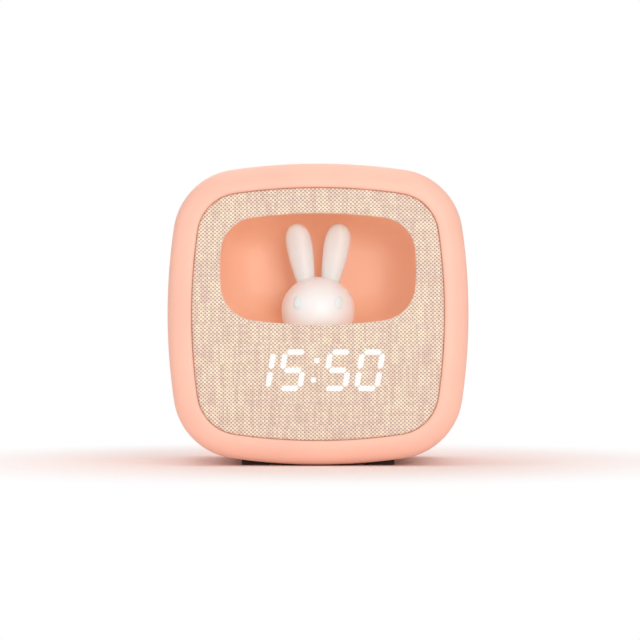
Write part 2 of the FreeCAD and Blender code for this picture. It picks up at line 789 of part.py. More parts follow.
cloth_outline = inset(case_outline, rim_width + fabric_gap)
window_centre = (0.0, window_z)
display_centre = (-display_shift, display_z)


def front_fabric():
    body = new_body("front_fabric")
    pad(body, "sheet", "XZ", cloth_y, carrier_y, lambda d: d.crowned(cloth_outline), mid)
    pocket(body, "window", "XZ", cloth_y, carrier_y, lambda d: d.crowned(window_outline),
           window_centre)


# Cloth carrier: the stiff panel under the cloth. Hooks snap behind the ledges, the digit module's
# face fills its lower opening, and two hooks hold the digit board by its ends.

def fabric_carrier():
    body = new_body("fabric_carrier")
    pad(body, "panel", "XZ", carrier_y, carrier_back_y, lambda d: d.crowned(cloth_outline), mid)
    pocket(body, "window", "XZ", carrier_y, carrier_back_y, lambda d: d.crowned(window_outline),
           window_centre)
    pocket(body, "display_opening", "XZ", carrier_y, carrier_back_y,
           lambda d: d.box(reflector_width + 2 * display_gap, reflector_height + 2 * display_gap),
           display_centre)
    stem = (opening_half_x - ledge_width - hook_gap - hook_thickness,
            opening_half_z - ledge_width - hook_gap - hook_thickness)
    catch_y = ledge_back_y + hook_gap
    pad(body, "hook_stems", "XZ", carrier_back_y, catch_y, bars(stem, hook_thickness, hook_width), mid)
    pad(body, "hook_barbs", "XZ", catch_y, catch_y + hook_thickness,
        bars(stem, hook_thickness + hook_barb, hook_width), mid)
    reach = display_board_width / 2 + display_gap + hook_thickness / 2
    pad(body, "display_stems", "XZ", carrier_back_y, display_back_y,
        boxes(hook_thickness, display_hook_width, [(-reach, 0.0), (reach, 0.0)]), display_centre)
    reach = reach - hook_barb / 2
    pad(body, "display_barbs", "XZ", display_back_y, display_back_y + hook_thickness,
        boxes(hook_thickness + hook_barb, display_hook_width, [(-reach, 0.0), (reach, 0.0)]),
        display_centre)


# Bowl behind the window: a deep moulded recess with a soft back, welded to the panel. A flat
# seat in its floor carries the figure, and hooks under it hold the lamp board.

bowl_inner = inset(window_outline, -bowl_step)
figure_place = (0.0, figure_y)


def alcove_liner():
    body = new_body("alcove_liner")
    pad(body, "bowl", "XZ", carrier_back_y, bowl_y + bowl_wall,
        lambda d: d.crowned(inset(bowl_inner, -bowl_wall)), window_centre)
    pocket(body, "inside", "XZ", carrier_back_y, bowl_y, lambda d: d.crowned(bowl_inner),
           window_centre)
    roll(body, "inner_roll", bowl_roll, "Y", bowl_y, -1)
    pad(body, "seat", "XY", floor_under_z, seat_z, boxes(seat_width, seat_width, [(0.0, 0.0)]),
        figure_place)
    pocket(body, "neck_hole", "XY", floor_under_z, seat_z,
           boxes(neck_width + 2 * neck_gap, neck_width + 2 * neck_gap, [(0.0, 0.0)]), figure_place)

    half = lamp_board_width / 2
    stop = half + (display_gap + hook_thickness - hook_barb) / 2
    stem = half + display_gap + hook_thickness / 2
    catch_z = lamp_under_z - hook_thickness
    pad(body, "lamp_stops", "XY", lamp_board_z, floor_under_z + bowl_wall,
        boxes(display_gap + hook_thickness + hook_barb, lamp_hook_width,
              [(-stop, 0.0), (stop, 0.0)]), figure_place)
    pad(body, "lamp_stems", "XY", catch_z, lamp_board_z,
        boxes(hook_thickness, lamp_hook_width, [(-stem, 0.0), (stem, 0.0)]), figure_place)
    pad(body, "lamp_barbs", "XY", catch_z, lamp_under_z,
        boxes(display_gap + hook_thickness + hook_barb, lamp_hook_width,
              [(-stop, 0.0), (stop, 0.0)]), figure_place)


# Rabbit: a translucent head with two low oval eyes. Its square neck keys it in the bowl's floor
# and takes the light guide, and two petal ears are pegged into its crown, with a seam between.

head_half = head_width / 2
seat_drop = seat_height - head_rise
CROWN_STEPS = 3
ear_peg_rise = ear_peg_length / 2 - ear_peg


def head_skin():
    """The head's outside: an elliptic crown, taken in steps, over a round side to the seat."""
    crown = [(0.0, head_height)]
    for i in range(1, CROWN_STEPS):
        angle = math.pi / 2 * i / CROWN_STEPS
        crown.append((head_half * math.sin(angle), head_height * math.cos(angle)))
    return crown + [(head_half, 0.0), (head_half, seat_drop)]


def rabbit_head():
    body = new_body("rabbit_head")
    revolve(body, "Revolution", "head", "XZ", figure_y, (0.0, head_z),
            head_skin() + [(0.0, seat_drop)])
    pad(body, "neck", "XY", floor_under_z, seat_z, boxes(neck_width, neck_width, [(0.0, 0.0)]),
        figure_place)
    bore = neck_width - 2 * neck_wall
    pocket(body, "bore", "XY", floor_under_z, floor_under_z + spigot_height + spigot_gap,
           boxes(bore, bore, [(0.0, 0.0)]), figure_place)
    half_height, half_width = eye_height / 2, eye_width / 2
    level = root(1 - eye_rise * eye_rise / (head_height * head_height)) * head_half
    eye_y = figure_y - root(level * level - eye_spread * eye_spread) + half_width - eye_relief
    oval = [(0.0, half_height), (0.9 * half_width, half_height / 2),
            (0.9 * half_width, -half_height / 2), (0.0, -half_height)]
    for name, side in (("left_eye", -1), ("right_eye", 1)):
        revolve(body, "Revolution", name, "XZ", eye_y, (side * eye_spread, head_z + eye_rise), oval)
    reach = ear_peg / 2 + ear_peg_gap
    for name, side in (("left_ear_hole", -1), ("right_ear_hole", 1)):
        pocket(body, name, "XZ", figure_y - reach, figure_y + reach,
               boxes(2 * reach, ear_peg_length + 2 * ear_peg_gap, [(0.0, ear_peg_rise)]),
               (side * ear_spread, head_z + ear_foot), -side * ear_lean)


def ear(name, side):
    """A petal: wide arcs up its sides and faces, a small one round the tip, thin at both ends."""
    body = new_body(name)
    half = ear_width / 2
    base = ear_base_width / 2
    low_radius = ((half - base) * (half - base) + ear_widest * ear_widest) / (2 * (half - base))
    tip_z = ear_length - ear_tip_radius
    rise = tip_z - ear_widest
    high_radius = (half * half + rise * rise - ear_tip_radius * ear_tip_radius) / (
        2 * (half - ear_tip_radius))
    share = ear_tip_radius / (high_radius - ear_tip_radius)
    tip = ((high_radius - half) * share, tip_z + rise * share)
    points = [(-base, 0.0), (base, 0.0), (half, ear_widest), tip, (-tip[0], tip[1]),
              (-half, ear_widest)]
    arcs = {1: ((half - low_radius, ear_widest), low_radius),
            2: ((half - high_radius, ear_widest), high_radius),
            3: ((0.0, tip_z), ear_tip_radius),
            4: ((high_radius - half, ear_widest), high_radius),
            5: ((low_radius - half, ear_widest), low_radius)}
    place = ((side * ear_spread, head_z + ear_foot), -side * ear_lean)
    front, back = figure_y - ear_thickness / 2, figure_y + ear_thickness / 2
    pad(body, "petal", "XZ", front, back, lambda d: d.outline(points, arcs), *place)
    bulge = (ear_thickness - ear_edge) / 2
    face_radius = (ear_length * ear_length / 4 + bulge * bulge) / (2 * bulge)
    centre_y = face_radius - ear_thickness / 2
    edge = ear_edge / 2

    def both_faces(drawing):
        drawing.box(2 * ear_thickness, 2 * ear_length, 0.0, ear_length / 2)
        drawing.outline([(-edge, 0.0), (edge, 0.0), (edge, ear_length), (-edge, ear_length)],
                        {1: ((-centre_y, ear_length / 2), face_radius),
                         3: ((centre_y, ear_length / 2), face_radius)})

    pocket(body, "faces", "YZ", -ear_length, ear_length, both_faces,
           (figure_y, head_z + ear_foot))
    revolve(body, "Groove", "head_room", "XZ", figure_y, (0.0, head_z),
            head_skin() + [(0.0, seat_drop)])
    pad(body, "peg", "XZ", figure_y - ear_peg / 2, figure_y + ear_peg / 2,
        boxes(ear_peg, ear_peg_length, [(0.0, ear_peg_rise)]), *place)


# Clear light guide under the figure, and the lamp board that shines up through it.

def figure_base():
    body = new_body("figure_base")
    pad(body, "plate", "XY", base_z, floor_under_z, boxes(guide_width, guide_depth, [(0.0, 0.0)]),
        figure_place)
    across = neck_width - 2 * neck_wall - 2 * spigot_gap
    pad(body, "spigot", "XY", floor_under_z, floor_under_z + spigot_height,
        boxes(across, across, [(0.0, 0.0)]), figure_place)


def night_light_board():
    body = new_body("night_light_board")
    pad(body, "board", "XY", lamp_under_z, lamp_board_z,
        lambda d: d.box(lamp_board_width, lamp_board_front + lamp_board_back,
                        0.0, (lamp_board_back - lamp_board_front) / 2), figure_place)


def night_light_leds():
    body = new_body("night_light_leds")
    places = [(-lamp_spread, 0.0), (lamp_spread, 0.0), (0.0, -lamp_spread), (0.0, lamp_spread)]
    pad(body, "lamps", "XY", lamp_board_z, lamp_board_z + lamp_height,
        boxes(lamp_size, lamp_size, places), figure_place)


# Digit module: a moulded reflector with slanted seven-segment cells, filled with clear resin,
# on its own board. The lit segments show 15:50.

digit_centres = [-digit_split - digit_pitch, -digit_split, digit_split, digit_split + digit_pitch]
digit_texts = ("1", "5", "5", "0")
LIT = {"1": "bc", "5": "acdfg", "0": "abcdef"}
lean = slope(digit_slant)
resin_back_y = carrier_y + segment_depth


def bar(drawing, x, z, half, upright):
    """One segment: a slanted bar with pointed ends."""
    edge = segment_width / 2
    tip = half - edge
    if upright:
        outline = [(0.0, half), (-edge, tip), (-edge, -tip), (0.0, -half), (edge, -tip), (edge, tip)]
    else:
        outline = [(-half, 0.0), (-tip, -edge), (tip, -edge), (half, 0.0), (tip, edge), (-tip, edge)]
    drawing.outline([(x + dx + (z + dz) * lean, z + dz) for dx, dz in outline], {})


def digit(centre, keys):
    """A drawing of a digit's segments named a to g."""
    side = (digit_width - segment_width) / 2
    top = (digit_height - segment_width) / 2
    flat = side - segment_gap
    tall = top / 2 - segment_gap
    cells = {"a": (0.0, top, flat, False), "b": (side, top / 2, tall, True),
             "c": (side, -top / 2, tall, True), "d": (0.0, -top, flat, False),
             "e": (-side, -top / 2, tall, True), "f": (-side, top / 2, tall, True),
             "g": (0.0, 0.0, flat, False)}

    def draw(drawing):
        for key in keys:
            x, z, half, upright = cells[key]
            bar(drawing, centre + x, z, half, upright)
    return draw


def digits(make, body, lit):
    """Make the lit segments, the dark ones, or all of them, digit by digit, and the colon."""
    for number, (centre, text) in enumerate(zip(digit_centres, digit_texts), 1):
        keys = [key for key in "abcdefg" if lit is None or lit == (key in LIT[text])]
        make(body, f"digit_{number}", "XZ", carrier_y, resin_back_y, digit(centre, keys),
             display_centre)
    if lit is not False:
        dots = [(sign * colon_spread / 2 * lean, sign * colon_spread / 2) for sign in (-1, 1)]
        make(body, "colon", "XZ", carrier_y, resin_back_y, boxes(segment_width, segment_width, dots),
             display_centre)


def display_reflector():
    body = new_body("display_reflector")
    pad(body, "block", "XZ", carrier_y, display_board_y,
        lambda d: d.box(reflector_width, reflector_height), display_centre)
    digits(pocket, body, None)


def display_segments():
    digits(pad, new_body("display_segments_lit"), True)
    digits(pad, new_body("display_segments_dark"), False)


def display_board():
    body = new_body("display_board")
    pad(body, "board", "XZ", display_board_y, display_back_y,
        lambda d: d.box(display_board_width, display_board_height), display_centre)


# Main board between the cover's posts and hooks, with its parts, the tact switches, the slide switch and the
# charging socket behind the plug pocket.

ribbon_z = display_z
chip_x = -main_board_width / 4


def main_board():
    body = new_body("main_board")
    pad(body, "board", "XZ", board_y, board_back_y,
        lambda d: d.box(main_board_width, main_board_height), (0.0, control_z))


def board_parts():
    body = new_body("board_parts")
    pad(body, "controller", "XZ", board_y - chip_height, board_y,
        boxes(chip_size, chip_size, [(chip_x, control_z)]))
    pad(body, "main_connector", "XZ", board_y - connector_depth, board_y,
        boxes(ribbon_width + connector_depth, connector_height, [(0.0, ribbon_z)]))
    pad(body, "display_connector", "XZ", display_back_y, display_back_y + connector_depth,
        boxes(ribbon_width + connector_depth, connector_height, [(0.0, ribbon_z)]))


def tact_switches():
    body = new_body("tact_switches")
    pad(body, "cases", "XZ", board_back_y, tact_y, boxes(tact_size, tact_size, key_places))
    well = plunger_size + 2 * plunger_gap
    pocket(body, "wells", "XZ", tact_y - plunger_hidden - key_travel - plunger_stroke_room, tact_y,
           boxes(well, well, key_places))


def key(name, place):
    body = new_body("button_" + name)
    flange_y = key_seat_y - key_rest
    pad(body, "stem", "XZ", stem_y, flange_y - key_flange_thickness,
        boxes(stem_size, stem_size, [place]))
    pad(body, "flange", "XZ", flange_y - key_flange_thickness, flange_y,
        boxes(key_width + 2 * key_flange, key_height + 2 * key_flange, [place]))
    pad(body, "cap", "XZ", flange_y, recess_y + key_proud, boxes(key_width, key_height, [place]))


def plunger(name, place):
    body = new_body("plunger_" + name)
    pad(body, "plunger", "XZ", tact_y - plunger_hidden, stem_y,
        boxes(plunger_size, plunger_size, [place]))


def alarm_switch():
    body = new_body("alarm_switch_body")
    top_y = board_back_y + switch_body_depth
    pad(body, "case", "XZ", board_back_y, top_y,
        boxes(switch_body_width, switch_body_height, [(switch_across, socket_z)]))
    pocket(body, "slot", "XZ", top_y - switch_stem_depth - switch_gap, top_y,
           boxes(switch_stem_width + switch_travel + 2 * switch_gap,
                 switch_stem_height + 2 * switch_gap, [(switch_across, socket_z)]))
    knob = new_body("alarm_switch_knob")
    pad(knob, "stem", "XZ", top_y - switch_stem_depth, top_y + switch_gap,
        boxes(switch_stem_width, switch_stem_height, [(switch_rest_x, socket_z)]))
    pad(knob, "knob", "XZ", top_y + switch_gap, recess_y + switch_knob_proud,
        boxes(switch_knob_width, switch_knob_height, [(switch_rest_x, socket_z)]))


def usb_socket():
    shell = new_body("usb_shell")
    place = (socket_across, socket_z)
    pad(shell, "shell", "XZ", board_back_y, pocket_floor_y,
        lambda d: d.stadium(usb_width, usb_height), place)
    pocket(shell, "mouth", "XZ", board_back_y + usb_floor, pocket_floor_y,
           lambda d: d.stadium(usb_width - 2 * usb_sheet, usb_height - 2 * usb_sheet), place)
    tongue = new_body("usb_tongue")
    pad(tongue, "tongue", "XZ", board_back_y + usb_floor, pocket_floor_y - usb_tongue_back,
        boxes(usb_tongue_width, usb_tongue_height, [place]))


# Loudspeaker: a square frame clipped inside the grille, with a can and a magnet behind it and a
# one-piece diaphragm in its opening.

def loudspeaker():
    place = [(0.0, speaker_z)]
    rim_y = inner_back_y - speaker_flange_thickness
    frame = new_body("speaker_frame")
    pad(frame, "can", "XZ", magnet_y, rim_y, boxes(speaker_can_width, speaker_can_width, place))
    pad(frame, "rim", "XZ", rim_y, inner_back_y, boxes(speaker_width, speaker_width, place))
    inner = speaker_can_width - 2 * speaker_sheet
    pocket(frame, "room", "XZ", magnet_y + speaker_sheet, rim_y, boxes(inner, inner, place))
    opening = diaphragm_width + 2 * diaphragm_gap
    pocket(frame, "opening", "XZ", rim_y, inner_back_y, boxes(opening, opening, place))
    magnet = new_body("speaker_magnet")
    pad(magnet, "magnet", "XZ", magnet_y - magnet_depth, magnet_y,
        boxes(magnet_width, magnet_width, place))
    diaphragm = new_body("speaker_diaphragm")
    pad(diaphragm, "film", "XZ", rim_y, rim_y + diaphragm_sheet,
        boxes(diaphragm_width, diaphragm_width, place))


# Cell in its cradle, held down by a folded strap whose pegs are pressed into the middle rib.

def battery():
    cell = new_body("battery_cell")
    place = (cell_y, cell_rise)
    pad(cell, "can", "YZ", -cell_length / 2, cell_length / 2, circles(cell_radius, [(0.0, 0.0)]), place)
    strap = new_body("battery_strap")
    inner = cell_radius + cell_gap
    outer = inner + strap_thickness
    end = strap_reach + strap_foot / 2
    right = [(end, 0.0), (end, strap_thickness), (outer, strap_thickness), (outer, outer * cell_fold),
             (outer * cell_fold, outer)]
    under = [(inner, 0.0), (inner, inner * cell_fold), (inner * cell_fold, inner)]
    points = right + [(-y, z) for y, z in reversed(right)] + [(-y, z) for y, z in under]
    points += list(reversed(under))
    pad(strap, "arch", "YZ", -strap_width / 2, strap_width / 2, lambda d: d.outline(points, {}), place)
    pad(strap, "pegs", "XY", cell_rise - strap_peg, cell_rise, boxes(strap_peg, strap_peg, strap_pegs))


# Rubber feet, pressed into their sockets under the case.

def rubber_feet():
    body = new_body("rubber_feet")
    pad(body, "feet", "XY", 0.0, foot_seat_z, boxes(foot_width, foot_depth, front_feet + rear_feet))


# Two case screws in the cover's counterbores.

def case_screws():
    body = new_body("case_screws")
    pad(body, "heads", "XZ", post_floor_y, post_floor_y + case_screw_cap,
        circles(case_screw_head, screw_places), mid)
    pad(body, "shanks", "XZ", post_floor_y - case_screw_length, post_floor_y,
        circles(case_screw_radius, screw_places), mid)


# Leads inside the case: flat strips with rounded bends, from one connector to the next.

def strip(name, plane, centre, width, thickness, bend, path):
    """A flat lead: a route in one plane, thickened, with an arc at each bend."""
    left, right = [], []
    for i in range(1, len(path) - 1):
        before, here, after = (FreeCAD.Vector(*map(float, path[j]), 0) for j in (i - 1, i, i + 1))
        come, leave = (here - before).normalize(), (after - here).normalize()
        turn = come.cross(leave).z
        half = math.acos(max(-1.0, min(1.0, come.dot(leave)))) / 2
        sign = 1 if turn > 0 else -1
        inward = (leave - come).normalize()
        centre_point = here + inward * (float(bend) / math.cos(half))
        for side, rail in ((1, left), (-1, right)):
            radius = float(bend) - side * sign * float(thickness) / 2
            start = centre_point + FreeCAD.Vector(come.y, -come.x, 0) * (sign * radius)
            middle = centre_point - inward * radius
            end = centre_point + FreeCAD.Vector(leave.y, -leave.x, 0) * (sign * radius)
            rail.append((start, middle, end))
    first, second = (FreeCAD.Vector(*map(float, path[j]), 0) for j in (0, 1))
    last, previous = (FreeCAD.Vector(*map(float, path[j]), 0) for j in (-1, -2))
    head_way, tail_way = (second - first).normalize(), (last - previous).normalize()
    outline = []
    for side, rail in ((1, left), (-1, right)):
        shift = side * float(thickness) / 2
        begin = first + FreeCAD.Vector(-head_way.y, head_way.x, 0) * shift
        finish_point = last + FreeCAD.Vector(-tail_way.y, tail_way.x, 0) * shift
        edges, here = [], begin
        for start, middle, end in rail:
            edges.append(Part.LineSegment(here, start).toShape())
            edges.append(Part.Arc(start, middle, end).toShape())
            here = end
        edges.append(Part.LineSegment(here, finish_point).toShape())
        outline.append((begin, finish_point, edges))
    (a0, a1, a_edges), (b0, b1, b_edges) = outline
    caps = [Part.LineSegment(a0, b0).toShape(), Part.LineSegment(a1, b1).toShape()]
    face = Part.Face(Part.Wire(Part.__sortEdges__(a_edges + b_edges + caps)))
    solid = face.extrude(FreeCAD.Vector(0, 0, float(width)))
    lead = doc.addObject("Part::Feature", name)
    lead.Label = name
    lead.Shape = solid
    across = float(centre - width / 2)
    if plane == "YZ":
        spin = FreeCAD.Rotation(FreeCAD.Vector(1, 1, 1), 120)
        lead.Placement = FreeCAD.Placement(FreeCAD.Vector(across, 0, 0), spin)
    else:
        lead.Placement = FreeCAD.Placement(FreeCAD.Vector(0, 0, across), FreeCAD.Rotation())
    parts.append(lead)


def leads():
    start_y, end_y = display_back_y + connector_depth, board_y - connector_depth
    sag_z = ribbon_z + ribbon_slack
    third = (end_y - start_y) / 4
    strip("display_cable", "YZ", 0.0, ribbon_width, ribbon_thickness, ribbon_bend,
          [(start_y, ribbon_z), (start_y + third, ribbon_z), (start_y + 2 * third, sag_z),
           (start_y + 3 * third, ribbon_z), (end_y, ribbon_z)])
    cell_lead_z = control_z - main_board_height / 2 + lead_width
    strip("battery_lead", "YZ", cell_length / 2 - lead_width, lead_width, lead_thickness, lead_bend,
          [(cell_y + cell_radius, cell_rise), (cell_y + 2 * cell_radius, cell_rise),
           (board_y - 2 * lead_bend, cell_lead_z), (board_y, cell_lead_z)])
    lamp_back_y = figure_y + lamp_board_back
    lamp_lead_z = lamp_board_z - board_thickness / 2
    strip("light_lead", "YZ", main_board_width / 5, lead_width, lead_thickness, lead_bend,
          [(lamp_back_y, lamp_lead_z), (bowl_y + 3 * lead_bend, lamp_lead_z),
           (bowl_y + 6 * lead_bend, lamp_lead_z + lead_bend), (board_y, lamp_lead_z + lead_bend)])
    lead_y = inner_back_y - speaker_flange_thickness - 2 * speaker_sheet
    board_top_z = control_z + main_board_height / 2
    strip("speaker_lead", "YZ", key_pitch / 2, lead_width, lead_thickness, lead_bend,
          [(lead_y, speaker_z - speaker_width / 2 + speaker_sheet), (lead_y, board_top_z - 2 * lead_bend),
           (board_back_y, board_top_z - 2 * lead_bend)])


front_shell()
rear_cover()
front_fabric()
fabric_carrier()
alcove_liner()
rabbit_head()
ear("rabbit_ear_left", -1)
ear("rabbit_ear_right", 1)
figure_base()
night_light_board()
night_light_leds()
display_reflector()
display_segments()
display_board()
main_board()
board_parts()
tact_switches()
for key_name, key_place in zip(key_names, key_places):
    key(key_name, key_place)
    plunger(key_name, key_place)
alarm_switch()
usb_socket()
loudspeaker()
battery()
rubber_feet()
case_screws()
leads()
doc.recompute()

for thing in doc.Objects:
    if "Invalid" in thing.State or "Error" in thing.State:
        raise RuntimeError(f"{thing.Name} {thing.State}")
os.makedirs("parts", exist_ok=True)
for piece in parts:
    if piece.Shape.isNull() or not piece.Shape.isValid():
        raise RuntimeError(f"{piece.Label} has a bad shape")
    piece.Shape.exportStep(f"parts/{piece.Label}.step")
    print(f"{piece.Label}: {len(piece.Shape.Solids)} solids, {piece.Shape.Volume:.1f} mm3")
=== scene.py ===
import math

import bmesh
import bpy
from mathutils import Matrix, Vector
from mathutils.geometry import intersect_sphere_sphere_2d


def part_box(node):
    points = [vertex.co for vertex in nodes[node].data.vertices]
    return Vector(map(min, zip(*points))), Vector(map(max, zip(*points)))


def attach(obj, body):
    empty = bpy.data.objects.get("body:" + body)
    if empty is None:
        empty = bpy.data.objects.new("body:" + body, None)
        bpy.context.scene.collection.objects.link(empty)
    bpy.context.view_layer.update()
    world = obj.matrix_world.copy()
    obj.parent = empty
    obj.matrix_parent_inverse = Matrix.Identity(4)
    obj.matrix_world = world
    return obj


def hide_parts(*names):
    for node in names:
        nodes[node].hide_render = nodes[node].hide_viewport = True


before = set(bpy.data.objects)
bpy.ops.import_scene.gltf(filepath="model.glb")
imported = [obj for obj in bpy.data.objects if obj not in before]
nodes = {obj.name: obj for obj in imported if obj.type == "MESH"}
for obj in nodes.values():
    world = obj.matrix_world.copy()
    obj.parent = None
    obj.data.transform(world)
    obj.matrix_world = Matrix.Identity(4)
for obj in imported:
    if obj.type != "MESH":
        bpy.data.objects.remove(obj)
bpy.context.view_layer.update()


# Front shell
# The half of the case that the photo shows: a satin salmon tub, injection moulded, with a round
# rolled rim and a well for the cloth panel. Ledges in the well hold the panel's hooks, and two
# bosses take the case screws.

mm = 0.001
shell_low, shell_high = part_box("front_shell")
case_half_x = shell_high.x
case_half_z = (shell_high.z - shell_low.z) / 2
middle_z = (shell_high.z + shell_low.z) / 2
front_y = shell_low.y
side_crown = 210 * mm
case_corner = 24 * mm
split_y = front_y + 58 * mm
case_wall = 2.4 * mm
rim_width = 8.6 * mm
rim_roll = 6.8 * mm
rim_lip = 0.9 * mm
rim_flat_share = 0.4
seam_land = 1 * mm
well_depth = 5.7 * mm
ledge_width = 3.2 * mm
ledge_half = 22 * mm
ledge_depth = 2 * mm
boss_reach = 38.5 * mm
boss_half = 3.2 * mm
boss_front = 6.7 * mm
boss_end = split_y + 2.4 * mm
salmon = (255, 198, 176)


def crowned_outline(half_x, half_z, side, top, corner, middle=(0, 0), steps=(9, 12)):
    """Points and outward normals round a box with bulging sides, anticlockwise from the front."""
    right, upper = Vector((half_x - side, 0)), Vector((0, half_z - top))
    centre = max(intersect_sphere_sphere_2d(right, side - corner, upper, top - corner),
                 key=lambda point: point.x + point.y)
    turn_in = math.atan2(centre.y, centre.x - right.x)
    turn_out = math.atan2(centre.y - upper.y, centre.x)
    quarter = []
    for hub, radius, start, end, count in ((right, side, 0, turn_in, steps[0]),
                                           (centre, corner, turn_in, turn_out, steps[1]),
                                           (upper, top, turn_out, math.pi / 2, steps[0])):
        for i in range(count):
            angle = start + (end - start) * (i + 0.5) / count
            normal = Vector((math.cos(angle), math.sin(angle)))
            quarter.append((hub + radius * normal, normal))
    outline = []
    for across, up in ((1, 1), (-1, 1), (-1, -1), (1, -1)):
        turned = [(Vector((across * p.x + middle[0], up * p.y + middle[1])),
                   Vector((across * n.x, up * n.y))) for p, n in quarter]
        outline += turned if across * up > 0 else turned[::-1]
    return outline


def ring(outline, inset, y):
    """The outline moved inwards and set at one station."""
    return [(p.x - n.x * inset, y, p.y - n.y * inset) for p, n in outline]


def rolled(outline, inset, y, radius, inward, steps=10):
    """Rings of a quarter round, from the side wall towards the face at y."""
    rings = []
    for i in range(steps + 1):
        angle = math.pi / 2 * i / steps
        rings.append(ring(outline, inset + radius * (1 - math.cos(angle)),
                          y + inward * radius * (1 - math.sin(angle))))
    return rings


def loft(bm, rings, joined=True):
    """Skins the rings in turn, and either joins the last to the first or caps both ends."""
    rows = [[bm.verts.new(point) for point in points] for points in rings]
    pairs = list(zip(rows, rows[1:] + rows[:1])) if joined else list(zip(rows, rows[1:]))
    for a, b in pairs:
        for i in range(len(a)):
            j = (i + 1) % len(a)
            bm.faces.new((a[i], a[j], b[j], b[i]))
    if not joined:
        bm.faces.new(rows[0])
        bm.faces.new(rows[-1])


def block(bm, low, high):
    """A rib, boss or post inside a moulding."""
    corners = [(low[0], low[2]), (high[0], low[2]), (high[0], high[2]), (low[0], high[2])]
    loft(bm, [[(x, y, z) for x, z in corners] for y in (low[1], high[1])], joined=False)


def new_piece(name, bm, material, sharp=35):
    """Turns the mesh into a piece, smooth but for the edges sharper than an angle in degrees."""
    bmesh.ops.recalc_face_normals(bm, faces=bm.faces)
    mesh = bpy.data.meshes.new(name)
    bm.to_mesh(mesh)
    bm.free()
    mesh.materials.append(material)
    mesh.polygons.foreach_set("use_smooth", [True] * len(mesh.polygons))
    mesh.set_sharp_from_angle(angle=math.radians(sharp))
    piece = bpy.data.objects.new(name, mesh)
    bpy.context.scene.collection.objects.link(piece)
    return piece


def paint(red, green, blue):
    """A colour as the eye names it, from 0 to 255, in the renderer's linear values."""
    linear = []
    for value in (red, green, blue):
        share = value / 255
        linear.append(share / 12.92 if share <= 0.04045 else ((share + 0.055) / 1.055) ** 2.4)
    return (*linear, 1)


def new_material(name, roughness, **sockets):
    """A material with its surface shader, whose even values sit on the shader's own sockets."""
    material = bpy.data.materials.new(name)
    material.use_nodes = True
    tree = material.node_tree
    surface = tree.nodes["Principled BSDF"]
    surface.inputs["Roughness"].default_value = roughness
    for socket, value in sockets.items():
        surface.inputs[socket.replace("_", " ")].default_value = value
    return material, tree, surface


def grain(tree, scale, detail=2):
    """Noise in the object's own metres: a scale of 1000 gives grains of about a millimetre."""
    place = tree.nodes.new("ShaderNodeTexCoord")
    noise = tree.nodes.new("ShaderNodeTexNoise")
    noise.inputs["Scale"].default_value = scale
    noise.inputs["Detail"].default_value = detail
    tree.links.new(place.outputs["Object"], noise.inputs["Vector"])
    return noise.outputs["Fac"]


def shade_between(tree, factor, low, high):
    """A colour between two, by a factor about its middle."""
    ramp = tree.nodes.new("ShaderNodeValToRGB")
    ramp.color_ramp.elements[0].position = 0.3
    ramp.color_ramp.elements[1].position = 0.7
    ramp.color_ramp.elements[0].color = low
    ramp.color_ramp.elements[1].color = high
    tree.links.new(factor, ramp.inputs["Fac"])
    return ramp.outputs["Color"]


def spread(tree, factor, low, high):
    """A number between two, by a factor from 0 to 1."""
    span = tree.nodes.new("ShaderNodeMapRange")
    span.inputs["To Min"].default_value = low
    span.inputs["To Max"].default_value = high
    tree.links.new(factor, span.inputs["Value"])
    return span.outputs["Result"]


def bump(tree, height, strength, depth):
    """A relief in the surface, whose depth is in metres."""
    relief = tree.nodes.new("ShaderNodeBump")
    relief.inputs["Strength"].default_value = strength
    relief.inputs["Distance"].default_value = depth
    tree.links.new(height, relief.inputs["Height"])
    return relief.outputs["Normal"]


def moulded(name, colour, roughness, grain_size=0.35 * mm, relief=0.012 * mm, **sockets):
    """Moulded plastic: a fine spark texture, a faint flow mottle and slightly uneven gloss."""
    material, tree, surface = new_material(name, roughness, **sockets)
    deep = tuple(round(value * 0.975) for value in colour)
    tree.links.new(shade_between(tree, grain(tree, 45), paint(*deep), paint(*colour)),
                   surface.inputs["Base Color"])
    fine = grain(tree, 1 / grain_size, 3)
    tree.links.new(spread(tree, fine, roughness - 0.05, roughness + 0.05),
                   surface.inputs["Roughness"])
    tree.links.new(bump(tree, fine, 0.6, relief), surface.inputs["Normal"])
    return material


shell_plastic = moulded("salmon_shell", salmon, 0.46, Coat_Weight=0.06, Coat_Roughness=0.3)
case_outline = crowned_outline(case_half_x, case_half_z, side_crown, side_crown, case_corner,
                               (0, middle_z))
bm = bmesh.new()
well_y = front_y + well_depth
loft(bm, [ring(case_outline, 0, split_y), ring(case_outline, 0, split_y - seam_land)]
     + rolled(case_outline, 0, front_y, rim_roll, 1, 16)
     + [ring(case_outline, rim_roll + rim_flat_share * (rim_width - rim_roll - rim_lip), front_y)]
     + rolled(case_outline, rim_width, front_y, -rim_lip, -1, 6)[::-1]
     + [ring(case_outline, rim_width, well_y), ring(case_outline, case_wall, well_y),
        ring(case_outline, case_wall, split_y)])
opening_x, opening_z = case_half_x - rim_width, case_half_z - rim_width
for side in (-1, 1):
    inner, outer = sorted((side * (opening_x - ledge_width), side * (opening_x + case_wall / 2)))
    block(bm, (inner, well_y - ledge_depth, middle_z - ledge_half),
          (outer, well_y, middle_z + ledge_half))
    inner, outer = sorted((side * (opening_z - ledge_width), side * (opening_z + case_wall / 2)))
    block(bm, (-ledge_half, well_y - ledge_depth, middle_z + inner),
          (ledge_half, well_y, middle_z + outer))
    boss_x, boss_z = side * boss_reach, middle_z - boss_reach
    block(bm, (boss_x - boss_half, front_y + boss_front, boss_z - boss_half),
          (boss_x + boss_half, boss_end, boss_z + boss_half))
front_case = new_piece("front_case", bm, shell_plastic)
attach(front_case, "case")
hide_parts("front_shell")


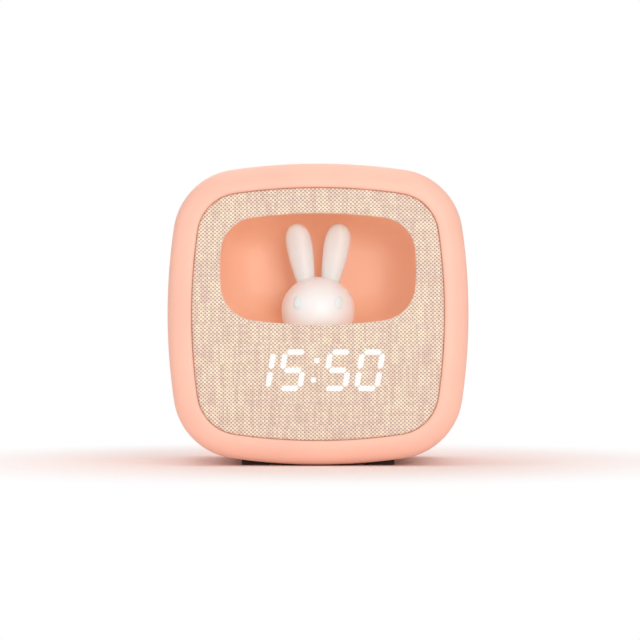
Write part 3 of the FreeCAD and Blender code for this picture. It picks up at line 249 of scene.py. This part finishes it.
# Cloth carrier
# The stiff moulded panel under the cloth, in pale plastic. The cloth turns over its edges and
# hides it, and its own solid is right as it stands.

panel_plastic = moulded("carrier_plastic", (238, 230, 220), 0.5)


def refinish(node, material):
    """Gives a solid of the frame a better material in each of its slots."""
    for slot in nodes[node].material_slots:
        slot.material = material


refinish("fabric_carrier", panel_plastic)


# Cloth front
# One woven sheet of two-tone yarn, laminated to the panel with its window cut out. Its edges turn
# back round the panel and the window, and a hairline parts it from the rim.

cloth_low, cloth_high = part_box("front_fabric")
carrier_edge = case_half_x - cloth_high.x
cloth_gap = 0.06 * mm
cloth_inset = rim_width + cloth_gap
cloth_back_y = cloth_high.y
cloth_face_y = cloth_low.y - 0.15 * mm
cloth_wrap_y = cloth_back_y + 1.8 * mm
cloth_edge = 0.8 * mm
cloth_proud = 0.25 * mm
window_half_x = 34.6 * mm
window_half_z = 19.8 * mm
window_z = middle_z + 15.8 * mm
window_side = 80 * mm
window_top = 170 * mm
window_corner = 13 * mm
yarn_across, yarn_up = 0.70 * mm, 0.65 * mm
yarn_drift = 0.35 * mm
warp_streak, weft_streak = 11, 7
dip_depth, fuzz_depth = 1.6, 0.25
weave_relief = 0.10 * mm
cream_yarn = (252, 236, 212)
rose_yarn = (230, 204, 190)
# Painted shade: the colour the weave darkens toward in each dip between the yarns.
dip_shade_colour = (112, 88, 76)


def woven(name):
    """Plain weave: painted shade darkens each dip where a yarn goes under, on a checker of cells,
    and streaks of two yarns. The painted shade fades where the cloth turns over an edge."""
    material, tree, surface = new_material(name, 0.85, Sheen_Weight=0.2, Sheen_Roughness=0.5)
    new, link = tree.nodes.new, tree.links.new
    place = new("ShaderNodeTexCoord")
    apart = new("ShaderNodeSeparateXYZ")
    link(place.outputs["Object"], apart.inputs[0])

    def work(operation, a, b=None):
        step = new("ShaderNodeMath")
        step.operation = operation
        for socket, value in zip(step.inputs, (a, b)):
            if isinstance(value, (int, float)):
                socket.default_value = value
            elif value is not None:
                link(value, socket)
        return step.outputs[0]

    def streak(a, b):
        cell = new("ShaderNodeCombineXYZ")
        chance = new("ShaderNodeTexWhiteNoise")
        link(a, cell.inputs[0])
        link(b, cell.inputs[1])
        link(cell.outputs[0], chance.inputs["Vector"])
        return chance.outputs["Value"]

    drift = work("MULTIPLY", work("SUBTRACT", grain(tree, 220, 1), 0.5), yarn_drift)
    across = work("DIVIDE", work("ADD", apart.outputs["X"], drift), yarn_across)
    up = work("DIVIDE", work("ADD", apart.outputs["Z"], drift), yarn_up)
    column, row = work("FLOOR", across), work("FLOOR", up)
    dips = work("ABSOLUTE", work("MODULO", work("ADD", column, row), 2))
    hump = work("MULTIPLY", work("ABSOLUTE", work("SINE", work("MULTIPLY", across, math.pi))),
                work("ABSOLUTE", work("SINE", work("MULTIPLY", up, math.pi))))
    facing = new("ShaderNodeSeparateXYZ")
    link(place.outputs["Normal"], facing.inputs[0])
    front_on = work("ABSOLUTE", facing.outputs["Y"])
    dip_and_shade_mask = work("MULTIPLY", work("MULTIPLY", dips, front_on), work("POWER", hump, 0.8))
    warp = streak(column, work("FLOOR", work("DIVIDE", up, warp_streak)))
    weft = streak(work("FLOOR", work("DIVIDE", across, weft_streak)), row)
    tone = work("ADD", work("MULTIPLY", warp, 0.45), work("MULTIPLY", weft, 0.25))
    tone = work("ADD", tone, work("MULTIPLY", streak(column, row), 0.3))
    yarn = new("ShaderNodeValToRGB")
    yarn.color_ramp.elements[0].color = paint(*rose_yarn)
    yarn.color_ramp.elements[0].position = 0.2
    yarn.color_ramp.elements[1].color = paint(*cream_yarn)
    yarn.color_ramp.elements[1].position = 0.8
    link(tone, yarn.inputs["Fac"])
    # Painted shade in the dips, mixed into the yarn colour.
    weave = new("ShaderNodeMix")
    weave.data_type = "RGBA"
    link(work("MULTIPLY", dip_and_shade_mask, 0.9), weave.inputs["Factor"])
    link(yarn.outputs["Color"], weave.inputs["A"])
    weave.inputs["B"].default_value = paint(*dip_shade_colour)
    link(weave.outputs["Result"], surface.inputs["Base Color"])
    height = work("ADD", work("SUBTRACT", hump, work("MULTIPLY", dip_and_shade_mask, dip_depth)),
                  work("MULTIPLY", grain(tree, 9000, 2), fuzz_depth))
    link(bump(tree, height, 0.5, weave_relief), surface.inputs["Normal"])
    return material, tree, dip_and_shade_mask


cloth = woven("two_tone_weave")[0]
window_outline = crowned_outline(window_half_x, window_half_z, window_side, window_top,
                                 window_corner, (0, window_z))
window_edge = [(p, -n) for p, n in window_outline]
outer_round = rolled(case_outline, cloth_inset, cloth_face_y, cloth_edge, 1, 5)
window_round = rolled(window_edge, -cloth_proud, cloth_face_y, cloth_edge, 1, 5)
spans = 14
between = [[tuple(Vector(a).lerp(Vector(b), step / spans))
            for a, b in zip(outer_round[-1], window_round[-1])] for step in range(1, spans)]
bm = bmesh.new()
loft(bm, [ring(case_outline, cloth_inset, cloth_wrap_y)] + outer_round + between
     + window_round[::-1] + [ring(window_edge, -cloth_proud, cloth_wrap_y),
                             ring(window_edge, 0, cloth_wrap_y),
                             ring(window_edge, 0, cloth_back_y),
                             ring(case_outline, carrier_edge, cloth_back_y),
                             ring(case_outline, carrier_edge, cloth_wrap_y)])
cloth_front = new_piece("cloth_front", bm, cloth, 60)
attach(cloth_front, "case")
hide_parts("front_fabric")


# Bowl
# The deep recess behind the window, moulded in one piece in salmon plastic and welded to the
# panel. A faint salmon glow painted on it stands in for the warm light bouncing round inside,
# and makes it look a stronger salmon. Its walls run into a softly rounded back, and a flat seat
# in its floor carries the head.

bowl_front_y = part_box("alcove_liner")[0].y
bowl_wall = 1.6 * mm
bowl_step = 0.6 * mm
bowl_back_y = front_y + 38 * mm
bowl_round = 12.2 * mm
bowl_sweep = 20 * mm
seat_half = 8.5 * mm
seat_z = 49.4 * mm
figure_y = front_y + 18.5 * mm
# The bowl's faint salmon emission is painted glow, for the warm light bouncing round inside it.
bowl_painted_glow_plastic = moulded("salmon_bowl_painted_glow", (247, 204, 177), 0.5, Emission_Color=paint(245, 160, 122),
                       Emission_Strength=0.1, Coat_Weight=0.05, Coat_Roughness=0.35)


def dish(outline, step, wall, steps=14):
    """Rings of a recess whose walls sweep into its back on a quarter ellipse."""
    rings = [ring(outline, -step, bowl_front_y)]
    for i in range(steps + 1):
        angle = math.pi / 2 * i / steps
        rings.append(ring(outline, (bowl_round + step) * (1 - math.cos(angle)) - step,
                          bowl_back_y + wall - bowl_sweep * (1 - math.sin(angle))))
    return rings


bm = bmesh.new()
loft(bm, dish(window_outline, bowl_step, 0)[::-1]
     + dish(window_outline, bowl_step + bowl_wall, bowl_wall), joined=False)
block(bm, (-seat_half, figure_y - seat_half, seat_z - bowl_wall),
      (seat_half, figure_y + seat_half, seat_z))
bowl = new_piece("bowl", bm, bowl_painted_glow_plastic, 40)
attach(bowl, "case")
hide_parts("alcove_liner")


# Rabbit
# A translucent white head, moulded hollow over the light guide, with two low oval eyes. Each ear
# is a petal of its own, pegged into the crown, so a fine seam shows where it meets the head.

head_z = 55.1 * mm
head_half = 13 * mm
head_height = 11.6 * mm
head_depth_below = 15.5 * mm
eye_x, eye_z = 7.4 * mm, 57.4 * mm
eye_half_x, eye_half_z = 1.4 * mm, 2.35 * mm
eye_relief = 0.38 * mm
eye_bluntness, eye_steps = 4, 9
ear_length = 23.3 * mm
ear_half = 4.65 * mm
ear_base_half = 2.8 * mm
ear_half_depth = 2.6 * mm
ear_widest = 0.66
ear_base_curve = 1.6
ear_tip_curve, ear_tip_round = 2.5, 0.45
ear_thinning = 0.2
ear_lean = math.radians(10.3)
ear_x, ear_z = 3.95 * mm, head_z + 7.6 * mm
around, up_steps, low_steps = 96, 30, 8
round_steps, ear_steps = 36, 36
# The head's faint cool emission is painted glow, which makes its white read brighter.
head_white_painted_glow = moulded("rabbit_white_painted_glow", (245, 244, 243), 0.34, 0.5 * mm, 0.004 * mm,
                     Subsurface_Weight=0.3, Subsurface_Scale=0.003,
                     Emission_Color=paint(240, 248, 255), Emission_Strength=0.04)
ear_white = moulded("ear_white", (234, 233, 231), 0.38, 0.5 * mm, 0.004 * mm,
                    Subsurface_Weight=0.3, Subsurface_Scale=0.003)


def head_reach(z):
    """The head's radius at a height: one ellipse over its widest level, a longer one under it."""
    rise = (z - head_z) / (head_height if z > head_z else head_depth_below)
    return head_half * math.sqrt(max(0.0, 1 - rise * rise))


levels = [seat_z + (head_z - seat_z) * i / low_steps for i in range(low_steps)]
levels += [head_z + head_height * math.sin(math.pi / 2 * i / up_steps) for i in range(up_steps)]
bm = bmesh.new()
loft(bm, [[(head_reach(z) * math.cos(2 * math.pi * i / around),
            figure_y + head_reach(z) * math.sin(2 * math.pi * i / around), z)
           for i in range(around)] for z in levels], joined=False)
for side in (-1, 1):
    swell = []
    for step in range(eye_steps):
        share = math.cos(math.pi / 2 * step / eye_steps)
        loop = []
        for i in range(round_steps):
            angle = 2 * math.pi * i / round_steps
            x = side * eye_x + eye_half_x * share * math.cos(angle)
            z = eye_z + eye_half_z * share * math.sin(angle)
            y = -math.sqrt(head_reach(z) ** 2 - x * x)
            out = Vector((x, y, 0)).normalized() * eye_relief * (1 - share ** eye_bluntness)
            loop.append((x + out.x, figure_y + y + out.y, z))
        swell.append(loop)
    loft(bm, swell, joined=False)
head = new_piece("rabbit_head_moulding", bm, head_white_painted_glow, 60)
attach(head, "case")
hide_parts("rabbit_head")


def petal_half(share):
    """An ear's half width along its length: swelling to its widest, then round to the tip."""
    if share < ear_widest:
        return ear_half - (ear_half - ear_base_half) * (1 - share / ear_widest) ** ear_base_curve
    fall = (share - ear_widest) / (1 - ear_widest)
    return ear_half * max(0.0, 1 - fall ** ear_tip_curve) ** ear_tip_round


for name, side in (("left", -1), ("right", 1)):
    rings = []
    for step in range(ear_steps):
        share = math.sin(math.pi / 2 * step / ear_steps)
        half = petal_half(share)
        deep = ear_half_depth * math.sqrt(half / ear_half) * (1 - ear_thinning * share)
        loop = []
        for i in range(round_steps):
            angle = 2 * math.pi * i / round_steps
            x, z = half * math.cos(angle), ear_length * share
            loop.append((side * (ear_x + z * math.sin(ear_lean)) + x * math.cos(ear_lean),
                         figure_y + deep * math.sin(angle),
                         ear_z + z * math.cos(ear_lean) - side * x * math.sin(ear_lean)))
        rings.append(loop)
    bm = bmesh.new()
    loft(bm, rings, joined=False)
    ear = new_piece(f"ear_{name}_petal", bm, ear_white, 60)
    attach(ear, "case")
    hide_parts(f"rabbit_ear_{name}")


# Light guide, lamp board and lamps
# A clear moulded block carries the light of four lamps up into the head. The lamps sit on a
# small green board that hooks under the bowl's floor hold.

solder_green = (34, 92, 62)


def laminate(name, colour):
    """Circuit board: solder mask over copper, whose tracks stand a hair above the glass weave."""
    material, tree, surface = new_material(name, 0.35, Coat_Weight=0.3, Coat_Roughness=0.2)
    lighter = tuple(min(255, round(value * 1.35)) for value in colour)
    tracks = tree.nodes.new("ShaderNodeTexBrick")
    tracks.inputs["Scale"].default_value = 90
    tracks.inputs["Mortar Size"].default_value = 0.012
    tracks.inputs["Color1"].default_value = paint(*colour)
    tracks.inputs["Color2"].default_value = paint(*colour)
    tracks.inputs["Mortar"].default_value = paint(*lighter)
    place = tree.nodes.new("ShaderNodeTexCoord")
    tree.links.new(place.outputs["Object"], tracks.inputs["Vector"])
    tree.links.new(tracks.outputs["Color"], surface.inputs["Base Color"])
    tree.links.new(bump(tree, tracks.outputs["Fac"], 0.4, 0.03 * mm), surface.inputs["Normal"])
    return material


board_finish = laminate("board_laminate", solder_green)
refinish("figure_base", moulded("clear_guide", (244, 244, 240), 0.12, 0.6 * mm, 0.002 * mm,
                                Transmission_Weight=0.85, IOR=1.49))
refinish("night_light_board", board_finish)
refinish("night_light_leds", moulded("lamp_lens", (255, 246, 214), 0.2, 0.4 * mm, 0.002 * mm,
                                     Emission_Color=paint(255, 214, 190), Emission_Strength=0.6))


# Digit module
# A dark moulded reflector keeps the segments apart, and its face fills the panel's lower
# opening. The lit segments shine through the cloth, dimmer where a yarn dips, with a soft edge:
# a thin skin just before the cloth stands for that light.

lit_edge = 0.55 * mm
lit_spread = 0.43 * mm
lit_gap = 0.03 * mm
glow_strength, glow_in_dips = 1.15, 0.6
refinish("display_reflector", moulded("reflector_plastic", (48, 47, 50), 0.6))
refinish("display_segments_dark", moulded("unlit_segments", (150, 143, 138), 0.3))
refinish("display_segments_lit", moulded("lit_segments", (255, 255, 250), 0.3,
                                         Emission_Color=paint(255, 255, 250),
                                         Emission_Strength=1.0))
refinish("display_board", board_finish)
light, tree, between_yarns = woven("light_through_weave")
glow = tree.nodes.new("ShaderNodeEmission")
glow.inputs["Color"].default_value = paint(255, 251, 248)
glow.inputs["Strength"].default_value = glow_strength
clear = tree.nodes.new("ShaderNodeBsdfTransparent")
level = tree.nodes.new("ShaderNodeAttribute")
level.attribute_name = "lit"
power = tree.nodes.new("ShaderNodeMath")
power.operation = "MULTIPLY"
tree.links.new(level.outputs["Fac"], power.inputs[0])
tree.links.new(spread(tree, between_yarns, 1.0, glow_in_dips), power.inputs[1])
blend = tree.nodes.new("ShaderNodeMixShader")
tree.links.new(power.outputs[0], blend.inputs[0])
tree.links.new(clear.outputs[0], blend.inputs[1])
tree.links.new(glow.outputs[0], blend.inputs[2])
tree.links.new(blend.outputs[0], tree.nodes["Material Output"].inputs["Surface"])

bm = bmesh.new()
bm.from_mesh(nodes["display_segments_lit"].data)
bmesh.ops.remove_doubles(bm, verts=bm.verts, dist=0.001 * mm)
segment_face_y = min(v.co.y for v in bm.verts)
behind = [f for f in bm.faces if max(v.co.y for v in f.verts) > segment_face_y + 0.01 * mm]
bmesh.ops.delete(bm, geom=behind, context="FACES")
bmesh.ops.dissolve_limit(bm, angle_limit=math.radians(1), verts=bm.verts, edges=bm.edges)
lit = bm.verts.layers.float.new("lit")
faces = list(bm.faces)
for face in faces:
    centre = face.calc_center_median()
    offsets = [vertex.co - centre for vertex in face.verts]
    reach = max(offsets, key=lambda offset: offset.length)
    asides = [offset - offset.project(reach) for offset in offsets]
    is_dot = max(aside.length for aside in asides) > 0.5 * reach.length
    for vertex, aside in zip(face.verts, offsets if is_dot else asides):
        if aside.length > 0.05 * mm:
            vertex.co += aside.normalized() * lit_spread
bmesh.ops.inset_individual(bm, faces=faces, thickness=lit_edge)
for face in faces:
    for vertex in face.verts:
        vertex[lit] = 1.0
for vertex in bm.verts:
    vertex.co.y = cloth_face_y - lit_gap
digit_light = new_piece("digit_light", bm, light)
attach(digit_light, "case")


# Rear cover
# The other half of the case, in the same plastic: a round back edge, a grille of level slots, a
# shallow field for the keys and the switch, the charging socket's pocket and two screw holes.

cover_y = split_y + 0.4 * mm
back_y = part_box("rear_cover")[1].y
back_roll = 6 * mm
inner_back_y = back_y - case_wall
recess_y = back_y - 1.2 * mm
field_z = middle_z - 18 * mm
field_half_x, field_half_z = 31.6 * mm, 13.6 * mm
key_boxes = {name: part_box(f"button_{name}") for name in ("set", "up", "down", "alarm", "light")}
socket_x, socket_z = 10 * mm, middle_z - 26 * mm
switch_x = -20 * mm
speaker_z = middle_z + 17 * mm
grille_radius, grille_pitch, grille_half = 12 * mm, 4 * mm, 1 * mm
key_half_x, key_half_z = 4 * mm, 2.5 * mm
hole_gap, hole_corner, hole_ease = 0.25 * mm, 1.2 * mm, 0.15 * mm
field_corner, field_ease = 3 * mm, 0.5 * mm
edge_ease = 0.3 * mm
screw_hole, screw_hole_corner = 2.9 * mm, 2.88 * mm
screw_floor_y = boss_end + 2.4 * mm
pocket_x, pocket_z = 8.4 * mm, 5.4 * mm
plug_half_x, plug_half_z, plug_corner = 6.8 * mm, 3.8 * mm, 1.6 * mm
plug_floor_y = back_y - 6.2 * mm
mouth_half_x, mouth_half_z, mouth_corner = 4.62 * mm, 1.78 * mm, 1.7 * mm
mouth_back_y = back_y - 9 * mm
pocket_end_y = back_y - 7.8 * mm
slot_half_x, slot_half_z, slot_corner = 3.5 * mm, 1.4 * mm, 0.8 * mm
post_half = 4.4 * mm
sunk = 0.4 * mm
inner_ease = 1 * mm
through_y = inner_back_y - 1 * mm
cut_steps = (2, 6)


def level_outline(half_x, half_z, corner, x, z):
    """A box with nearly straight sides and round corners, for an opening."""
    return crowned_outline(half_x, half_z, 40 * half_x, 40 * half_x, corner, (x, z), cut_steps)


def cutter(bm, outline, deep_y, face_y, lead=0.0):
    """A tool that cuts from a face inwards, and eases the opening's edge by a small bevel."""
    rings = [ring(outline, 0, deep_y), ring(outline, 0, face_y - lead)]
    if lead:
        rings.append(ring(outline, -lead, face_y))
    loft(bm, rings + [ring(outline, -lead, face_y + 2 * mm)], joined=False)


def combine(piece, operation, bm):
    """Adds or cuts a tool mesh, and leaves one clean mesh."""
    bmesh.ops.recalc_face_normals(bm, faces=bm.faces)
    mesh = bpy.data.meshes.new("tool")
    bm.to_mesh(mesh)
    bm.free()
    tool = bpy.data.objects.new("tool", mesh)
    bpy.context.scene.collection.objects.link(tool)
    change = piece.modifiers.new(operation, "BOOLEAN")
    change.operation = operation
    change.solver = "EXACT"
    change.object = tool
    seen = bpy.context.evaluated_depsgraph_get()
    result = bpy.data.meshes.new_from_object(piece.evaluated_get(seen))
    piece.modifiers.clear()
    old, piece.data = piece.data, result
    bpy.data.meshes.remove(old)
    bpy.data.objects.remove(tool)
    bpy.data.meshes.remove(mesh)


bm = bmesh.new()
loft(bm, [ring(case_outline, case_wall + inner_ease, inner_back_y),
          ring(case_outline, case_wall, inner_back_y - inner_ease),
          ring(case_outline, case_wall, cover_y), ring(case_outline, 0, cover_y),
          ring(case_outline, 0, cover_y + seam_land)]
     + rolled(case_outline, 0, back_y, back_roll, -1, 14), joined=False)
cover = new_piece("rear_case", bm, shell_plastic)

posts = bmesh.new()
block(posts, (socket_x - pocket_x, pocket_end_y, socket_z - pocket_z),
      (socket_x + pocket_x, inner_back_y + sunk, socket_z + pocket_z))
for side in (-1, 1):
    block(posts, (side * boss_reach - post_half, boss_end, middle_z - boss_reach - post_half),
          (side * boss_reach + post_half, inner_back_y + sunk,
           middle_z - boss_reach + post_half))
combine(cover, "UNION", posts)

field = bmesh.new()
cutter(field, level_outline(field_half_x, field_half_z, field_corner, 0, field_z), recess_y,
       back_y, field_ease)
for row in range(-2, 3):
    rise = row * grille_pitch
    half = math.sqrt(grille_radius ** 2 - rise ** 2)
    cutter(field, level_outline(half, grille_half, 0.8 * grille_half, 0, speaker_z + rise),
           through_y, back_y, edge_ease)
for side in (-1, 1):
    cutter(field, level_outline(screw_hole, screw_hole, screw_hole_corner, side * boss_reach,
                                middle_z - boss_reach), screw_floor_y, back_y, edge_ease)
combine(cover, "DIFFERENCE", field)

holes = bmesh.new()
for low, high in key_boxes.values():
    centre = (low + high) / 2
    cutter(holes, level_outline(key_half_x + hole_gap, key_half_z + hole_gap, hole_corner,
                                centre.x, centre.z), through_y, recess_y, hole_ease)
cutter(holes, level_outline(plug_half_x, plug_half_z, plug_corner, socket_x, socket_z),
       plug_floor_y, recess_y, edge_ease)
cutter(holes, level_outline(slot_half_x, slot_half_z, slot_corner, switch_x, socket_z),
       through_y, recess_y, hole_ease)
combine(cover, "DIFFERENCE", holes)

mouth = bmesh.new()
cutter(mouth, level_outline(mouth_half_x, mouth_half_z, mouth_corner, socket_x, socket_z),
       mouth_back_y, plug_floor_y)
combine(cover, "DIFFERENCE", mouth)
cover.data.set_sharp_from_angle(angle=math.radians(35))
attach(cover, "case")
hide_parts("rear_cover")


# Key caps
# Five satin caps in the field on the back, each with soft edges and a shallow crown. They stand
# a little proud, and press in against the tact switches.

key_plastic = moulded("key_plastic", (250, 190, 166), 0.42, 0.3 * mm, 0.008 * mm)
cap_corner = 1.1 * mm
cap_round = 0.5 * mm
cap_crown = 0.15 * mm
cap_flange, flange_reach = 1 * mm, 0.9 * mm
crown_steps = 4
for name, (low, high) in key_boxes.items():
    centre = (low + high) / 2
    cap = level_outline(key_half_x, key_half_z, cap_corner, centre.x, centre.z)
    bm = bmesh.new()
    crown = []
    for step in range(crown_steps):
        left = 1 - step / crown_steps
        crown.append([(centre.x + (x - centre.x) * left, y, centre.z + (z - centre.z) * left)
                      for x, y, z in ring(cap, cap_round, high.y - cap_crown * left ** 2)])
    loft(bm, [ring(cap, 0, low.y), ring(cap, -flange_reach, low.y),
              ring(cap, -flange_reach, low.y + cap_flange), ring(cap, 0, low.y + cap_flange)]
         + rolled(cap, 0, high.y - cap_crown, cap_round, -1, 5)[:-1] + crown, joined=False)
    key = new_piece(f"key_{name}_cap", bm, key_plastic)
    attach(key, f"key_{name}")
    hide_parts(f"button_{name}")


# Alarm switch
# A small sliding knob in its slot beside the charging socket, with three grip ridges. The body
# of the switch sits on the board inside.

knob_low, knob_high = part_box("alarm_switch_knob")
knob_neck_y = recess_y - 2.4 * mm
ridge_height, ridges, steps_across = 0.35 * mm, 3, 24
bm = bmesh.new()
profile = []
for i in range(steps_across + 1):
    share = i / steps_across
    wave = math.cos(2 * math.pi * ridges * share) * 0.5 - 0.5
    profile.append((knob_low.x + (knob_high.x - knob_low.x) * share,
                    knob_high.y + wave * ridge_height))
profile += [(knob_high.x, knob_neck_y), (knob_low.x, knob_neck_y)]
loft(bm, [[(x, y, z) for x, y in profile] for z in (knob_low.z, knob_high.z)], joined=False)
knob = new_piece("switch_knob", bm, moulded("knob_plastic", (250, 190, 166), 0.42, 0.3 * mm,
                                            0.008 * mm), 50)
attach(knob, "alarm_switch")
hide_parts("alarm_switch_knob")


# Main board and what stands on it
# The controller board on the cover's posts, with black moulded components, the tact switches
# and their stems, and the body of the slide switch.

component_black = moulded("component_black", (38, 38, 41), 0.55, 0.25 * mm, 0.006 * mm)
refinish("main_board", board_finish)
for node in ("board_parts", "tact_switches", "alarm_switch_body", "plunger_set", "plunger_up",
             "plunger_down", "plunger_alarm", "plunger_light"):
    refinish(node, component_black)


# Charging socket, speaker and fixings
# The socket's drawn shell and the screws are plated steel, the speaker's frame holds a pressed
# film diaphragm in front of its plated magnet, and the metal shows fine drawing marks.

def plated(name, colour, roughness, length):
    """Plated or drawn metal: fine marks along one way that break up its gloss."""
    material, tree, surface = new_material(name, roughness, Metallic=1.0)
    surface.inputs["Base Color"].default_value = paint(*colour)
    marks = tree.nodes.new("ShaderNodeTexNoise")
    stretch = tree.nodes.new("ShaderNodeMapping")
    place = tree.nodes.new("ShaderNodeTexCoord")
    stretch.inputs["Scale"].default_value = (1 / length, 12 / length, 12 / length)
    marks.inputs["Scale"].default_value = 1
    tree.links.new(place.outputs["Object"], stretch.inputs["Vector"])
    tree.links.new(stretch.outputs["Vector"], marks.inputs["Vector"])
    tree.links.new(spread(tree, marks.outputs["Fac"], roughness - 0.08, roughness + 0.12),
                   surface.inputs["Roughness"])
    tree.links.new(bump(tree, marks.outputs["Fac"], 0.3, 0.004 * mm), surface.inputs["Normal"])
    return material


refinish("usb_shell", plated("socket_plating", (205, 205, 210), 0.24, 3 * mm))
refinish("usb_tongue", component_black)
refinish("case_screws", plated("screw_zinc", (168, 170, 175), 0.34, 2 * mm))
refinish("speaker_magnet", plated("magnet_nickel", (150, 150, 154), 0.38, 4 * mm))
refinish("speaker_frame", component_black)
refinish("speaker_diaphragm", moulded("diaphragm_film", (44, 43, 46), 0.7, 0.8 * mm, 0.03 * mm))


# Cell, strap and leads
# The rechargeable cell in its plain blue sleeve, under a moulded strap, and the soft
# insulated leads that join the boards.

refinish("battery_cell", moulded("shrink_sleeve", (84, 142, 190), 0.28, 1.2 * mm, 0.01 * mm))
refinish("battery_strap", panel_plastic)
lead_sleeve = moulded("lead_sleeve", (226, 221, 212), 0.4, 0.6 * mm, 0.006 * mm)
for node in ("display_cable", "battery_lead", "light_lead", "speaker_lead"):
    refinish(node, lead_sleeve)


# Feet
# Four rubber pads pressed into sockets under the case. They carry it clear of the table, and
# only their shadow shows from the front: their dark reddish brown is painted shade, so that
# they melt into the contact shadow under the case.

refinish("rubber_feet", moulded("foot_rubber_painted_shade", (52, 34, 30), 0.8, 0.3 * mm, 0.02 * mm))


# Studio
# A plain pale table under soft light, more of it from the front and the right, and a long lens
# level with the bowl's floor, as in the photo. The table's faint pink is painted bounce light
# from the salmon case, which shows most in its shadow.

photo_width = 223.9 * mm
lens_distance = 1.0
sensor = 36.0
camera_x, camera_z = 0.7 * mm, 51.3 * mm
table_reach = 6.0
fade_start, fade_end = 0.07, 0.17

table_painted_bounce, tree, surface = new_material("pale_table_painted_pink_bounce", 0.9)
# Faint pink: painted bounce light from the salmon case, seen most in the shade near it.
surface.inputs["Base Color"].default_value = paint(255, 243, 240)
surface.inputs["Specular IOR Level"].default_value = 0.1
place = tree.nodes.new("ShaderNodeTexCoord")
away = tree.nodes.new("ShaderNodeVectorMath")
away.operation = "LENGTH"
fade = tree.nodes.new("ShaderNodeMapRange")
fade.interpolation_type = "SMOOTHSTEP"
fade.inputs["From Min"].default_value = fade_start
fade.inputs["From Max"].default_value = fade_end
plain_white = tree.nodes.new("ShaderNodeEmission")
plain_white.inputs["Strength"].default_value = 1.0
melt = tree.nodes.new("ShaderNodeMixShader")
seen = tree.nodes.new("ShaderNodeLightPath")
only_seen = tree.nodes.new("ShaderNodeMath")
only_seen.operation = "MULTIPLY"
tree.links.new(place.outputs["Object"], away.inputs[0])
tree.links.new(away.outputs["Value"], fade.inputs["Value"])
tree.links.new(fade.outputs["Result"], only_seen.inputs[0])
tree.links.new(seen.outputs["Is Camera Ray"], only_seen.inputs[1])
tree.links.new(only_seen.outputs[0], melt.inputs[0])
tree.links.new(surface.outputs[0], melt.inputs[1])
tree.links.new(plain_white.outputs[0], melt.inputs[2])
tree.links.new(melt.outputs[0], tree.nodes["Material Output"].inputs["Surface"])

bm = bmesh.new()
corners = [(-table_reach, -table_reach, 0), (table_reach, -table_reach, 0),
           (table_reach, table_reach, 0), (-table_reach, table_reach, 0)]
bm.faces.new([bm.verts.new(corner) for corner in corners])
table = new_piece("table", bm, table_painted_bounce)

world = bpy.data.worlds.new("studio")
bpy.context.scene.world = world
world.use_nodes = True
tree = world.node_tree
soft = tree.nodes["Background"]
soft.inputs["Color"].default_value = (1.0, 0.985, 0.975, 1)
soft.inputs["Strength"].default_value = 0.56
white = tree.nodes.new("ShaderNodeBackground")
white.inputs["Color"].default_value = (1, 1, 1, 1)
white.inputs["Strength"].default_value = 1.0
path = tree.nodes.new("ShaderNodeLightPath")
direct = tree.nodes.new("ShaderNodeMath")
direct.operation = "MAXIMUM"
pick = tree.nodes.new("ShaderNodeMixShader")
tree.links.new(path.outputs["Is Camera Ray"], direct.inputs[0])
tree.links.new(path.outputs["Is Transmission Ray"], direct.inputs[1])
tree.links.new(direct.outputs[0], pick.inputs[0])
tree.links.new(soft.outputs[0], pick.inputs[1])
tree.links.new(white.outputs[0], pick.inputs[2])
tree.links.new(pick.outputs[0], tree.nodes["World Output"].inputs["Surface"])


def softbox(name, place, aim, size, power):
    """A square area lamp turned to a point."""
    lamp = bpy.data.lights.new(name, "AREA")
    lamp.size = size
    lamp.energy = power
    stand = bpy.data.objects.new(name, lamp)
    stand.location = place
    stand.rotation_euler = (Vector(aim) - Vector(place)).to_track_quat("-Z", "Y").to_euler()
    bpy.context.scene.collection.objects.link(stand)


for name, place, size, power in (("front_box", (0.3, -1.2, 0.25), 0.5, 4.3),
                                 ("key_box", (0.6, -0.7, 0.8), 0.6, 1.3),
                                 ("fill_box", (-0.9, -0.5, 0.45), 0.8, 1.5),
                                 ("top_box", (0.0, 0.1, 1.0), 0.9, 2.2),
                                 ("back_box", (-0.2, 0.9, 0.6), 0.8, 1.8)):
    softbox(name, place, (0, 0, middle_z), size, power)

bpy.context.scene.view_settings.view_transform = "Standard"
lens = bpy.data.cameras.new("photo_lens")
lens.sensor_width = sensor
lens.lens = sensor * lens_distance / photo_width
camera = bpy.data.objects.new("photo_lens", lens)
camera.location = (camera_x, front_y - lens_distance, camera_z)
camera.rotation_euler = (math.pi / 2, 0, 0)
bpy.context.scene.collection.objects.link(camera)
bpy.context.scene.camera = camera
